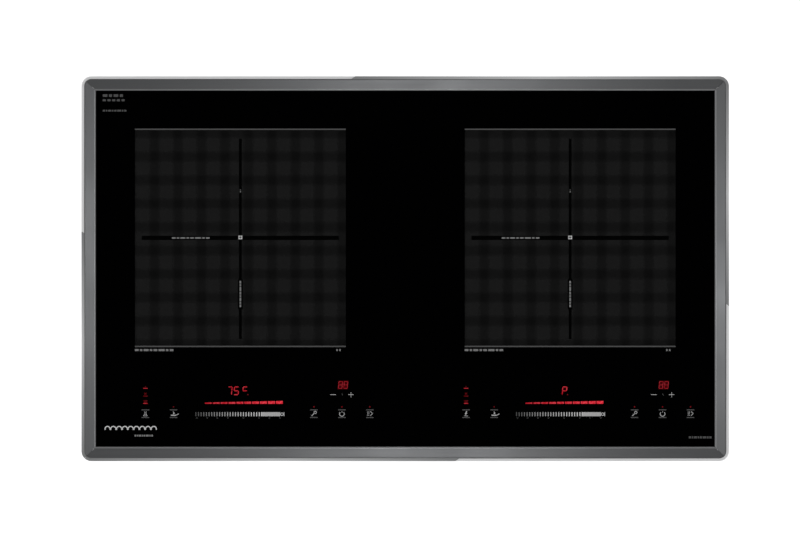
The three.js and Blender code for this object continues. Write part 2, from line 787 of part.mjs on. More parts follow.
// A shallow plastic tray on posts holds both touch boards up to the glass.
function controlTray() {
  const outerX = TRAY_HALF_LENGTH;
  const halfY = TRAY_HALF_DEPTH;
  const wall = 1.6;
  const top = GLASS_BASE - 5.4;
  const body = block(-outerX, outerX, CONTROL_Y - halfY, CONTROL_Y + halfY, TRAY_BASE, top);
  const hollow = block(
    wall - outerX,
    outerX - wall,
    CONTROL_Y - halfY + wall,
    CONTROL_Y + halfY - wall,
    TRAY_BASE + wall,
    top + 1,
  );
  const posts = [-300, -60, 60, 300].map((x) =>
    rod(4, FLOOR_TOP + TOUCH, TRAY_BASE + 1, 12).translate([x, CONTROL_Y, 0]));
  return piece('control_tray', join([body.subtract(hollow), ...posts]), plastic);
}

function controlSet({ name, sign }) {
  const x = CONTROL_LEFT_X + (sign > 0 ? CONTROL_SPACING : 0);
  const boardTop = GLASS_BASE - DISPLAY_HEIGHT - 2 * TOUCH;
  const boardBase = boardTop - BOARD_THICKNESS;
  const displayX = x - 9;
  const displayY = CONTROL_Y + DISPLAY_DEPTH / 2;
  const displayTop = GLASS_BASE - TOUCH;
  const boardBody = pad(x, CONTROL_Y, TOUCH_BOARD_LENGTH, TOUCH_BOARD_DEPTH, boardBase, boardTop);
  const displayBody = pad(displayX, displayY, DISPLAY_LENGTH, DISPLAY_DEPTH, boardTop + TOUCH, displayTop);
  return [
    piece(`touch_board_${name}`, boardBody, circuitBoard),
    piece(`led_display_${name}`, displayBody, displayWindow),
  ];
}

// ---------------------------------------------------------------- assembly

function zoneGroup(side) {
  const zone = group(...coilZone(side));
  zone.position.set(side.sign * ZONE_X, ZONE_Y, 0);
  return zone;
}

const backTrim = cornerTrim('corner_trim_back_left');
const frontTrim = cornerTrim('corner_trim_front_right');
frontTrim.rotation.z = Math.PI;

const top = group(
  glassPlate(),
  glassBond(),
  ...frameMembers(),
  backTrim,
  frontTrim,
  ...CORNERS.map(cornerKey),
  ...worktopSeals(),
);
const casing = group(
  baseTray(),
  connectionPlate(),
  cableGland(),
  ...CORNERS.map(foot),
  ...CORNERS.map(clamp),
);
const heating = group(coilPlate(), ...SIDES.map(zoneGroup));
const cooling = group(...SIDES.map(fan), ...SIDES.map(heatSink));
const electronics = group(
  ...SIDES.map(powerBoard),
  filterBoard(),
  controlTray(),
  ...SIDES.flatMap(controlSet),
);

const cooktop = group(top, casing, heating, cooling, electronics);

export default cooktop;
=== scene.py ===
import math

import bmesh
import bpy
from mathutils import Matrix, Vector


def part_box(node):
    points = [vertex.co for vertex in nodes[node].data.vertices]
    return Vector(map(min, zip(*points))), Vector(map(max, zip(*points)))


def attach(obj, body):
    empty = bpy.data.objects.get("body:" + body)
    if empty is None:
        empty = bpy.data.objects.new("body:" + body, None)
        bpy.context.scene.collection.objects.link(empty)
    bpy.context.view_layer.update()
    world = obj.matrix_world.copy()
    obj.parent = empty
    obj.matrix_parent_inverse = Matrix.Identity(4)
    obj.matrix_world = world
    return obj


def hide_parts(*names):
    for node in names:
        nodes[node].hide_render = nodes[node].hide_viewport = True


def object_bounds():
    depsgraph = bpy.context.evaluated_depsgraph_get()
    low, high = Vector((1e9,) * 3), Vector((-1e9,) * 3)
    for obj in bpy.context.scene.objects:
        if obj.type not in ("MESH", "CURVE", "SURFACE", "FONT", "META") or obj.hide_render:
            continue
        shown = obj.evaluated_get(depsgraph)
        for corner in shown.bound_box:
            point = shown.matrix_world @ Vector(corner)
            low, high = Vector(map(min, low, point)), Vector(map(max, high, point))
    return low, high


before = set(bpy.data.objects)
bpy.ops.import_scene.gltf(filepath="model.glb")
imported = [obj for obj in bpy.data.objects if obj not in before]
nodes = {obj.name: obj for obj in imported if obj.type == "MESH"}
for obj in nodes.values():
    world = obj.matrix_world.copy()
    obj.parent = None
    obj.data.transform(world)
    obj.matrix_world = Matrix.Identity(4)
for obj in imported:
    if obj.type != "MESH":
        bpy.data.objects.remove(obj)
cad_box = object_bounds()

MM = 0.001
SIDES = ("left", "right")
CORNERS = ("front_left", "front_right", "back_left", "back_right")
SHARP = math.radians(32)      # edges sharper than this are kept sharp, or get a bevel

# ---- places taken from the frame

low, high = cad_box
glass_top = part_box("glass_plate")[1].z
tray_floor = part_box("base_tray")[0].z
rim_half = Vector((high.x, high.y))


def middle(node):
    """The middle of a CAD node's box."""
    lowest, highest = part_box(node)
    return (lowest + highest) / 2


# ---- camera

LENS = 135
SENSOR = 36
SHOWN_WIDTH = 0.9130          # metres of the worktop that the view is wide, at the height of the rim
VIEW_OFFSET = (-0.0060, 0.0025)  # the object stands a little right of the middle, and a little low


def add_camera():
    data = bpy.data.cameras.new("camera")
    data.lens = LENS
    data.sensor_width = SENSOR
    data.clip_end = 20
    camera = bpy.data.objects.new("camera", data)
    bpy.context.scene.collection.objects.link(camera)
    distance = SHOWN_WIDTH * LENS / SENSOR
    camera.location = (VIEW_OFFSET[0], VIEW_OFFSET[1], high.z + distance)
    bpy.context.scene.camera = camera


# ---- material kit

class Nodes:
    """The nodes of a material or of the room."""

    def __init__(self, tree):
        self.tree = tree

    def node(self, kind, **settings):
        made = self.tree.nodes.new(kind)
        for name, value in settings.items():
            setattr(made, name, value)
        return made

    def join(self, output, target):
        self.tree.links.new(output, target)

    def math(self, operation, *values):
        made = self.node("ShaderNodeMath", operation=operation)
        for socket, value in zip(made.inputs, values):
            if isinstance(value, (int, float)):
                socket.default_value = value
            else:
                self.join(value, socket)
        return made.outputs[0]

    def remap(self, value, from_low, from_high, to_low, to_high, **settings):
        made = self.node("ShaderNodeMapRange", **settings)
        ends = {"From Min": from_low, "From Max": from_high, "To Min": to_low, "To Max": to_high}
        for label, number in ends.items():
            made.inputs[label].default_value = number
        self.join(value, made.inputs["Value"])
        return made.outputs["Result"]

    def split(self, coords):
        made = self.node("ShaderNodeSeparateXYZ")
        self.join(coords, made.inputs["Vector"])
        return made.outputs["X"], made.outputs["Y"], made.outputs["Z"]


class Look(Nodes):
    """A node material under construction, worked out from the object's own coordinates."""

    def __init__(self, name, color=(0.5, 0.5, 0.5), **sockets):
        self.material = bpy.data.materials.new(name)
        self.material.use_nodes = True
        super().__init__(self.material.node_tree)
        self.shader = self.tree.nodes["Principled BSDF"]
        self.shader.inputs["Base Color"].default_value = (*color, 1)
        for socket, value in sockets.items():
            label = "IOR" if socket == "ior" else socket.replace("_", " ").title()
            self.shader.inputs[label].default_value = value
        self.coords = self.node("ShaderNodeTexCoord").outputs["Object"]

    def drive(self, socket, output):
        self.join(output, self.shader.inputs[socket])

    def stretched(self, scale):
        """The object's coordinates, multiplied per axis or all alike."""
        mapping = self.node("ShaderNodeMapping")
        mapping.inputs["Scale"].default_value = scale if isinstance(scale, tuple) else (scale,) * 3
        self.join(self.coords, mapping.inputs["Vector"])
        return mapping.outputs["Vector"]

    def noise(self, scale, detail=3.0, roughness=0.5):
        made = self.node("ShaderNodeTexNoise")
        made.inputs["Scale"].default_value = 1
        made.inputs["Detail"].default_value = detail
        made.inputs["Roughness"].default_value = roughness
        self.join(self.stretched(scale), made.inputs["Vector"])
        return made.outputs["Fac"]

    def cells(self, scale, feature="F1", output="Distance"):
        made = self.node("ShaderNodeTexVoronoi", feature=feature)
        made.inputs["Scale"].default_value = 1
        self.join(self.stretched(scale), made.inputs["Vector"])
        return made.outputs[output]

    def blend(self, factor, first, second):
        """A colour between two colours, each a tuple or an output."""
        made = self.node("ShaderNodeMix", data_type="RGBA")
        self.join(factor, made.inputs["Factor"])
        targets = [socket for socket in made.inputs if socket.type == "RGBA"]
        for target, value in zip(targets, (first, second)):
            if isinstance(value, tuple):
                target.default_value = (*value, 1)
            else:
                self.join(value, target)
        return [socket for socket in made.outputs if socket.type == "RGBA"][0]

    def paint(self, factor, first, second):
        self.drive("Base Color", self.blend(factor, first, second))

    def dull(self, *ends):
        self.drive("Roughness", self.remap(*ends))

    def bump(self, height, strength, distance):
        made = self.node("ShaderNodeBump")
        made.inputs["Strength"].default_value = strength
        made.inputs["Distance"].default_value = distance
        self.join(height, made.inputs["Height"])
        self.drive("Normal", made.outputs["Normal"])


def depth_from_rim(look, corner_radius):
    """How far a point lies inside the frame's rounded outline, in metres, seen from above."""
    x, y, _ = look.split(look.coords)
    past = []
    over = []
    for coordinate, half in ((x, rim_half.x), (y, rim_half.y)):
        past.append(look.math("SUBTRACT", look.math("ABSOLUTE", coordinate), half - corner_radius))
        over.append(look.math("MAXIMUM", past[-1], 0.0))
    squares = [look.math("POWER", part, 2.0) for part in over]
    length = look.math("SQRT", look.math("ADD", *squares))
    inward = look.math("MINIMUM", look.math("MAXIMUM", past[0], past[1]), 0.0)
    return look.math("SUBTRACT", corner_radius, look.math("ADD", length, inward))


# ---- materials

def black_glass():
    look = Look("black_glass", ior=1.5)
    smear = look.noise(9.0, detail=4)
    look.dull(smear, 0.3, 0.7, 0.03, 0.07)
    grain = look.noise(900.0, detail=1)
    look.paint(grain, (0.0003, 0.0003, 0.0004), (0.0006, 0.0006, 0.0007))
    return look.material


RIM_WIDTH = 3.5 * MM
GROOVE_END = 4.3 * MM
GROOVE_DULL = 0.28            # added to the roughness of the rim and the groove
EDGE_START = 15.0 * MM        # where the painted highlight line along the inner end of the bevel begins
CORNER_RADIUS = 11.5 * MM
RIM_PEAK_X = 154 * MM         # the painted reflection on the bare stretch of a long rim is lightest here, on a short rim at RIM_PEAK_Y
RIM_PEAK_Y = 87 * MM
RIM_FADE_X = 215 * MM
RIM_FADE_Y = 128 * MM


def brushed_frame(name, along_x):
    """Dark satin aluminium, brushed along the member, with a duller rim. The rim's lighter colour is a
    painted reflection, lightest partway along each side and fading from there; the groove inside the rim is
    painted lighter to offset its shade, and the inner end of the bevel is painted with a highlight line.
    """
    look = Look(name, metallic=1)
    along, across = 6.0, 1400.0
    scale = (along, across, across) if along_x else (across, along, across)
    hairs = look.noise(scale, detail=4, roughness=0.6)
    cloud = look.noise(14.0, detail=2)
    depth = depth_from_rim(look, CORNER_RADIUS)
    rim = look.math("LESS_THAN", depth, RIM_WIDTH)
    groove = look.math("LESS_THAN", depth, GROOVE_END)
    edge = look.math("GREATER_THAN", depth, EDGE_START)
    x, y, _ = look.split(look.coords)
    run, side = (x, y) if along_x else (y, x)
    peak, fade = (RIM_PEAK_X, RIM_FADE_X) if along_x else (RIM_PEAK_Y, RIM_FADE_Y)
    place = look.math("MULTIPLY", run, look.math("SIGN", side))
    away = look.math("ABSOLUTE", look.math("SUBTRACT", place, peak))
    # Painted reflection: the rim's colour is lightest at the peak and fades with distance from it, standing
    # in for the reflection of the lights.
    rim_painted_highlight = look.remap(away, 0.0, fade, 1.0, 0.0)
    plain = look.blend(hairs, (0.135, 0.138, 0.142), (0.165, 0.168, 0.172))
    bright = look.blend(rim_painted_highlight, (0.42, 0.425, 0.43), (0.93, 0.935, 0.94))
    # Painted highlight: a lighter line along the inner end of the bevel.
    with_painted_edge_highlight = look.blend(edge, plain, (0.34, 0.344, 0.35))
    # Painted light: the groove inside the rim is coloured lighter than the frame, to offset the shade that
    # falls into it.
    with_groove_painted_lighter = look.blend(groove, with_painted_edge_highlight, (0.24, 0.242, 0.246))
    look.paint(rim, with_groove_painted_lighter, bright)
    worn = look.math("MULTIPLY", hairs, cloud)
    satin = look.remap(worn, 0.1, 0.4, 0.27, 0.35)
    look.drive("Roughness", look.math("ADD", satin, look.math("MULTIPLY", groove, GROOVE_DULL)))
    look.bump(hairs, 0.12, 0.02 * MM)
    return look.material


ROLLED = (8.0, 900.0, 900.0)
DRAWN = (30.0, 1100.0, 1100.0)
STRANDED = (1600.0, 1600.0, 500.0)
TRIM_TONES = ((0.92, 0.925, 0.93), (0.97, 0.972, 0.975))
SHEET_TONES = ((0.74, 0.75, 0.76), (0.84, 0.85, 0.86))
FOIL_TONES = ((0.70, 0.71, 0.72), (0.80, 0.81, 0.82))
FERRITE_TONES = ((0.02, 0.02, 0.022), (0.07, 0.07, 0.075))
COPPER_TONES = ((0.30, 0.10, 0.04), (0.72, 0.34, 0.16))
WINDOW_TONES = ((0.05, 0.004, 0.004), (0.10, 0.008, 0.008))


def grained(name, scale, detail, noisiness, tones, dullness, bump=None, **sockets):
    """A material with one grain, which drives its colour between two tones, its roughness and its bump."""
    look = Look(name, **sockets)
    grain = look.noise(scale, detail, noisiness)
    look.paint(grain, *tones)
    look.dull(grain, 0.3, 0.7, *dullness)
    if bump:
        look.bump(grain, bump[0], bump[1] * MM)
    return look.material


def zinc_sheet():
    look = Look("zinc_sheet", metallic=1)
    flakes = look.cells(140.0, output="Color")
    value = look.node("ShaderNodeSeparateColor")
    look.join(flakes, value.inputs["Color"])
    tone = value.outputs["Red"]
    streak = look.noise((2.0, 500.0, 500.0), detail=3)
    spangle = look.blend(tone, (0.46, 0.475, 0.49), (0.60, 0.61, 0.62))
    stain = look.remap(look.noise(22.0, detail=5, roughness=0.6), 0.35, 0.75, 0.0, 0.5)
    look.paint(stain, spangle, (0.40, 0.41, 0.42))
    look.dull(look.math("ADD", tone, streak), 0.3, 1.5, 0.32, 0.5)
    look.bump(streak, 0.08, 0.02 * MM)
    return look.material


def plated_steel():
    look = Look("plated_steel", metallic=1)
    grain = look.noise(600.0, detail=4)
    tint = look.noise(40.0, detail=2)
    look.paint(tint, (0.62, 0.60, 0.55), (0.72, 0.71, 0.70))
    look.dull(grain, 0.3, 0.7, 0.22, 0.36)
    look.bump(grain, 0.1, 0.02 * MM)
    return look.material


def rubber(name, tone, pore):
    tones = (tone, tone, tone * 1.1), (tone * 1.8, tone * 1.8, tone * 1.9)
    return grained(name, pore, 5, 0.65, tones, (0.66, 0.85), (0.4, 0.08), roughness=0.75)


def moulded_plastic():
    look = Look("moulded_plastic")
    grain = look.cells(1800.0)
    cloud = look.noise(30.0, detail=2)
    look.paint(cloud, (0.012, 0.012, 0.013), (0.020, 0.020, 0.022))
    look.dull(grain, 0.0, 0.8, 0.42, 0.6)
    look.bump(grain, 0.25, 0.05 * MM)
    return look.material


def circuit_board():
    look = Look("circuit_board", ior=1.5)
    tracks = look.cells(160.0, feature="DISTANCE_TO_EDGE")
    copper = look.math("LESS_THAN", tracks, 0.06)
    pads = look.math("LESS_THAN", look.cells(320.0), 0.16)
    resist = look.blend(copper, (0.010, 0.085, 0.035), (0.035, 0.17, 0.07))
    look.paint(pads, resist, (0.55, 0.56, 0.58))
    look.drive("Metallic", pads)
    look.dull(look.noise(60.0), 0.3, 0.7, 0.28, 0.4)
    look.bump(copper, 0.3, 0.03 * MM)
    return look.material


def mica():
    look = Look("mica", ior=1.56)
    flakes = look.cells(260.0, output="Color")
    tone = look.node("ShaderNodeSeparateColor")
    look.join(flakes, tone.inputs["Color"])
    look.paint(tone.outputs["Green"], (0.42, 0.36, 0.26), (0.66, 0.61, 0.50))
    look.dull(tone.outputs["Red"], 0.0, 1.0, 0.25, 0.55)
    look.bump(tone.outputs["Blue"], 0.3, 0.05 * MM)
    return look.material


def red_light(name, level):
    """Lit segments: the glow is a little paler in the middle of each lamp chip, and grows along X."""
    look = Look(name, (0.02, 0.0, 0.0), roughness=0.12)
    x, _, _ = look.split(look.coords)
    look.drive("Emission Strength", look.remap(x, -60 * MM, 30 * MM, 0.6 * level, level))
    chips = look.remap(look.noise(420.0, detail=1), 0.35, 0.65, 0.0, 1.0)
    look.drive("Emission Color", look.blend(chips, (0.62, 0.012, 0.025), (0.85, 0.06, 0.085)))
    return look.material


def print_ink(name, dark, light, speck=1300.0):
    """Ceramic print: fine specks of two greys."""
    look = Look(name, ior=1.5)
    grain = look.noise(speck, detail=2)
    tone = look.blend(look.remap(grain, 0.35, 0.65, 0.0, 1.0), (dark,) * 3, (light,) * 3)
    look.drive("Base Color", tone)
    look.dull(grain, 0.3, 0.7, 0.10, 0.16)
    return look.material


def fading_ink(name, length, dark, light):
    """Ceramic print that gets lighter along the piece's own X."""
    look = Look(name, roughness=0.14, ior=1.5)
    x, _, _ = look.split(look.coords)
    grain = look.math("MULTIPLY", look.math("SUBTRACT", look.noise(1300.0), 0.5), 0.2)
    place = look.math("ADD", look.remap(x, -length / 2, length / 2, 0.0, 1.0), grain)
    look.paint(place, (dark,) * 3, (light,) * 3)
    return look.material


PLAID_PITCH = 26.8 * MM
PLAID_SHIFT = (9.2 * MM, 11.8 * MM)   # where a dark band runs, from the middle of the zone
PLAID_TONE = 0.0172
PLAID_DEPTH = 0.36


def zone_ink():
    """The zone's print: a very fine dot screen, thinned along a soft plaid of crossing bands."""
    look = Look("zone_ink", roughness=0.12, ior=1.5)
    x, y, _ = look.split(look.coords)
    tone = look.remap(look.cells(620.0), 0.2, 0.6, PLAID_TONE * 1.12, PLAID_TONE * 0.88)
    for coordinate, shift in ((x, PLAID_SHIFT[0]), (y, PLAID_SHIFT[1])):
        phase = look.math("MULTIPLY", look.math("SUBTRACT", coordinate, shift), 2 * math.pi / PLAID_PITCH)
        thinned = look.remap(look.math("COSINE", phase), -0.2, 0.75, 1.0, 1.0 - PLAID_DEPTH)
        tone = look.math("MULTIPLY", tone, thinned)
    mixed = look.node("ShaderNodeCombineColor")
    for channel in mixed.inputs:
        look.join(tone, channel)
    look.drive("Base Color", mixed.outputs["Color"])
    return look.material


# ---- flat shapes, in millimetres

def bar(x0, y0, x1, y1):
    return [(x0, y0), (x1, y0), (x1, y1), (x0, y1)]


def stroke(x0, y0, x1, y1, width):
    """A straight line of a given width."""
    along = Vector((x1 - x0, y1 - y0)).normalized()
    side = Vector((-along.y, along.x)) * width / 2
    return [
        (x0 - side.x, y0 - side.y),
        (x1 - side.x, y1 - side.y),
        (x1 + side.x, y1 + side.y),
        (x0 + side.x, y0 + side.y),
    ]


def disc(x, y, radius, points=20):
    angles = [2 * math.pi * i / points for i in range(points)]
    return [(x + radius * math.cos(a), y + radius * math.sin(a)) for a in angles]


def arc(x, y, radius, width, start, end, points=16):
    """A band along a circle, from one angle to another, in degrees."""
    angles = [math.radians(start + (end - start) * i / points) for i in range(points + 1)]
    outer = [(x + (radius + width / 2) * math.cos(a), y + (radius + width / 2) * math.sin(a)) for a in angles]
    inner = [(x + (radius - width / 2) * math.cos(a), y + (radius - width / 2) * math.sin(a)) for a in angles]
    return outer + inner[::-1]


def ring(x, y, radius, width):
    return [arc(x, y, radius, width, 0, 180), arc(x, y, radius, width, 180, 360)]


def moved(outlines, x, y, scale=1.0, turn=0.0):
    cosine, sine = math.cos(math.radians(turn)), math.sin(math.radians(turn))
    return [
        [(x + scale * (p * cosine - q * sine), y + scale * (p * sine + q * cosine)) for p, q in outline]
        for outline in outlines
    ]


def dashes(length, height, pattern=(3, 2, 4, 2, 3, 5, 2, 3)):
    """A row of plain dashes of uneven length, which stands where small print would."""
    gap = 1
    total = sum(pattern) + gap * (len(pattern) - 1)
    unit = length / total
    x = -length / 2
    row = []
    for size in pattern:
        row.append(bar(x, -height / 2, x + size * unit, height / 2))
        x += (size + gap) * unit
    return row


SEGMENTS = {"7": "abc", "5": "acdfg", "8": "abcdefg", "degree": "afg", "P": "abefg"}


def figure(kind, x, y, width, height, weight=0.15):
    """A seven-segment figure whose lower left corner is at x, y, leaning a little to the right."""
    thick = weight * width
    lean = 0.09
    mid = height / 2
    half = thick / 2
    ends = {
        "a": (half, height - half, width - half, height - half),
        "b": (width - half, height - half, width - half, mid),
        "c": (width - half, mid, width - half, half),
        "d": (half, half, width - half, half),
        "e": (half, mid, half, half),
        "f": (half, height - half, half, mid),
        "g": (half, mid, width - half, mid),
    }
    shapes = []
    for name in SEGMENTS[kind]:
        x0, y0, x1, y1 = ends[name]
        direction = Vector((x1 - x0, y1 - y0)).normalized()
        start = Vector((x0, y0)) + direction * thick * 0.12
        end = Vector((x1, y1)) - direction * thick * 0.12
        side = Vector((-direction.y, direction.x)) * half
        tip = direction * half
        outline = [start, start + tip - side, end - tip - side, end, end - tip + side, start + tip + side]
        shapes.append([(x + p.x + lean * p.y, y + p.y) for p in outline])
    return shapes


# ---- pieces

# The slot and the material of each kind of surface, filled before any piece is built.
surfaces = {}


def register(slot, **materials):
    for name, material in materials.items():
        surfaces[name] = (slot, material)


def add_piece(name, mesh, surface, body="casing", at=(0, 0, 0), smooth=False):
    piece = bpy.data.objects.new(name, mesh)
    bpy.context.scene.collection.objects.link(piece)
    piece.location = at
    slot, material = surfaces[surface]
    mesh.materials.append(material)
    for face in mesh.polygons:
        face.use_smooth = smooth
    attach(piece, body)
    return piece


def skin(build, rings, bored=False):
    """Joins rings of points into a body, with capped ends, or with its last ring joined to its first."""
    pairs = list(zip(rings, rings[1:]))
    if bored:
        pairs.append((rings[-1], rings[0]))
    else:
        build.faces.new(rings[0][::-1])
        build.faces.new(rings[-1])
    for lower, upper in pairs:
        for i in range(len(lower)):
            j = (i + 1) % len(lower)
            build.faces.new((lower[i], lower[j], upper[j], upper[i]))


def to_mesh(name, build):
    mesh = bpy.data.meshes.new(name)
    build.to_mesh(mesh)
    build.free()
    return mesh


FILM = 0.02 * MM              # thickness of a film
FILM_LIFT = 0.01 * MM         # gap between a film and what it lies on


def film(name, outlines, surface, at, level=0, height=glass_top + FILM_LIFT):
    """Thin printed shapes, on the glass unless a height is given. Higher levels lie on lower ones."""
    base = level * FILM
    build = bmesh.new()
    for outline in outlines:
        faces = []
        for lift in (0.0, FILM):
            faces.append([build.verts.new((p * MM, q * MM, base + lift)) for p, q in outline])
        skin(build, faces)
    bmesh.ops.recalc_face_normals(build, faces=build.faces)
    return add_piece(name, to_mesh(name, build), surface, at=(at[0], at[1], height))


# ---- cooking zones

ZONE_HALF_X = 120.3
ZONE_TOP = 122.6
ZONE_BOTTOM = -123.6
CROSS_REACH = 112.6
CROSS_LOW = -2.9
CROSS_HIGH = 1.8
LINE_WIDTH = 1.6
LINE_GAP = 0.7


def add_zone(side):
    centre = middle(f"mica_sheet_{side}")
    at = (centre.x, centre.y)
    field = bar(-ZONE_HALF_X, ZONE_BOTTOM + LINE_GAP, ZONE_HALF_X, ZONE_TOP - LINE_GAP)
    film(f"zone_print_{side}", [field], "zone", at)
    cross = [
        bar(-CROSS_REACH, CROSS_LOW, CROSS_REACH, CROSS_HIGH),
        bar(-1.6, CROSS_HIGH, 1.6, CROSS_REACH),
        bar(-1.6, -CROSS_REACH - 3.4, 1.6, CROSS_LOW),
        bar(-2.8, -81.9, 2.8, -47.9),
    ]
    film(f"zone_cross_{side}", cross, "black", at, level=1)
    lines = [
        bar(-ZONE_HALF_X, ZONE_TOP, ZONE_HALF_X, ZONE_TOP + LINE_WIDTH),
        bar(-ZONE_HALF_X, ZONE_BOTTOM - LINE_WIDTH, ZONE_HALF_X, ZONE_BOTTOM),
    ]
    film(f"zone_lines_{side}", lines, "dim", at, level=2)
    marks = moved(dashes(43, 1.7), -56.6, -0.6)
    marks += moved(dashes(30, 1.9), 0, -64.6, turn=90)
    marks += moved(dashes(44, 2.3), -98.4, ZONE_BOTTOM - 5.0)
    marks += moved(dashes(5.0, 2.3, (1, 1)), 112.0, ZONE_BOTTOM - 5.0)
    marks += [disc(0, 52, 0.7), disc(0, 54.2, 0.5)]
    film(f"zone_marks_{side}", marks, "mid", at, level=2)
    square = ring(0, 0, 1.5, 0.9) + [
        bar(-2.2, 1.4, 2.2, 2.1),
        bar(-2.2, -2.1, 2.2, -1.4),
        bar(-2.2, -1.4, -1.5, 1.4),
        bar(1.5, -1.4, 2.2, 1.4),
    ]
    film(f"zone_centre_{side}", square, "white", at, level=3)


# ---- touch controls

BUTTON_COLUMNS = (-127.6, -95.5, 64.7, 96.7, 128.6)
BUTTON_ROW = -13.4
ICON_STROKE = 0.75


def star_icon():
    rays = [stroke(-2.3, -2.6, 1.2, 2.3, 0.6), stroke(2.3, -2.6, -1.2, 2.3, 0.6)]
    return rays + [disc(0, 0.2, 1.2), bar(-2.2, -2.9, 2.2, -2.4)]


def bolt_icon():
    bolt = [(0.2, 2.9), (1.4, 2.9), (0.5, 0.7), (1.6, 0.7), (-1.6, -2.9), (-0.5, -0.3), (-1.5, -0.3)]
    return [bolt, bar(-2.2, -2.9, 2.2, -2.3)]


def pan_icon():
    pan = [(-2.7, -2.6), (2.6, -2.6), (3.3, -1.3), (-3.2, -1.3)]
    drop = [(-0.5, -0.6), (1.0, -0.3), (1.2, 0.9), (0.2, 2.0), (-0.4, 3.0), (-0.2, 1.2)]
    return [pan, drop, stroke(3.1, -1.8, 5.9, -0.2, 0.8)]


def key_icon():
    bow = ring(1.5, 1.4, 1.35, 0.7)
    return bow + [stroke(0.6, 0.5, -2.7, -2.6, 0.85), stroke(-1.9, -1.8, -1.2, -2.6, 0.6)]


def power_icon():
    return [arc(0, -0.3, 2.7, ICON_STROKE, 135, 405, 28), stroke(0, 1.2, 0, 2.8, 0.5)]


def pause_icon():
    arrow = stroke(0.6, 2.4, 3.1, 0.0, 0.65), stroke(3.1, 0.0, 0.6, -2.4, 0.65)
    bars = [bar(x, y, x + 0.6, y + 1.1) for x in (-3.0, -1.4) for y in (-2.3, -0.55, 1.2)]
    return [*arrow, *bars]


def level_icons():
    """Three small pictures, one above the other, as bright and as dim shapes."""
    warm = [stroke(-0.3, 1.2, 0.2, 2.6, 0.6)]
    simmer = [bar(-2.5, -2.2, 2.5, -1.0), stroke(-1.2, 0.2, 1.2, 2.1, 0.8), stroke(-1.2, 2.1, 1.2, 0.2, 0.8)]
    boil = [bar(-1.9, -0.8, 1.9, 0.6), bar(-2.5, 1.3, 2.5, 1.9)]
    bright = [bar(-2.5, 15.1, 2.5, 15.9), bar(-2.5, -2.2, 2.5, -1.4)]
    return bright, moved(warm, 0, 15.4) + moved(simmer, 0, 8.2) + moved(boil, 0, -0.1)


SLIDER_START = -70.6
SLIDER_STEP = 3.017
SLIDER_TICKS = 25
TICK_WIDTH = 1.15
SLIDER_BAR = (4.4, 31.0)
SLIDER_LOW = -16.4
SLIDER_HIGH = -11.8
SCALE_MARKS = (-69.0, -57.3, -45.6, -33.4, -15.8, 2.2, 13.9, 26.1)
GRAPH_START = -59.7
GRAPH_END = 30.3
GRAPH_LOW = -2.2
GRAPH_BARS = 10
FIGURE_LOW = 7.7
FIGURE_HEIGHT = 9.8


def add_button_prints(side, at):
    first = star_icon if side == "left" else bolt_icon
    icons = []
    for column, shape in zip(BUTTON_COLUMNS, (first, pan_icon, key_icon, power_icon, pause_icon)):
        icons += moved(shape(), column, BUTTON_ROW)
    minus_plus = [bar(83.4, 7.9, 89.8, 8.6), bar(104.0, 7.9, 110.1, 8.6)]
    minus_plus += [bar(106.8, 8.6, 107.3, 11.2), bar(106.8, 5.2, 107.3, 7.9)]
    film(f"control_icons_{side}", icons + minus_plus, "light", at)
    rules = moved([stroke(-0.6, 1.0, 0.6, -1.2, 0.45), stroke(-0.9, 0.3, -0.4, 1.3, 0.3)], 97.3, 8.4)
    for column in BUTTON_COLUMNS:
        rules += [bar(column - 4.3, -9.7, column + 4.3, -8.6), bar(column - 4.3, -18.4, column + 4.3, -17.3)]
    film(f"control_rules_{side}", rules, "dim", at)


def add_slider(side, at):
    span = SLIDER_STEP * SLIDER_TICKS
    ticks = []
    for i in range(SLIDER_TICKS):
        x = SLIDER_STEP * i - span / 2
        ticks.append(bar(x, SLIDER_LOW, x + TICK_WIDTH, SLIDER_HIGH))
    middle_x = at[0] + (SLIDER_START + span / 2) * MM
    film(f"slider_ticks_{side}", ticks, "fading", (middle_x, at[1]))
    knob_x = SLIDER_BAR[1] - 2.7
    solid = [
        bar(SLIDER_BAR[0] + 0.9, SLIDER_LOW, knob_x - 2.0, SLIDER_HIGH),
        bar(knob_x + 1.9, SLIDER_LOW, SLIDER_BAR[1], SLIDER_HIGH),
    ]
    film(f"slider_bar_{side}", solid, "light", at)
    ends = [bar(SLIDER_BAR[0], SLIDER_LOW, SLIDER_BAR[0] + 0.9, SLIDER_HIGH)]
    ends += ring(knob_x, (SLIDER_LOW + SLIDER_HIGH) / 2, 1.5, 0.6)
    film(f"slider_ends_{side}", ends, "white", at)
    scale = []
    for x in SCALE_MARKS:
        scale += [stroke(x - 0.9, -17.9, x, -18.9, 0.5), stroke(x, -18.9, x + 0.9, -17.9, 0.5)]
    film(f"slider_scale_{side}", scale, "dim", at)


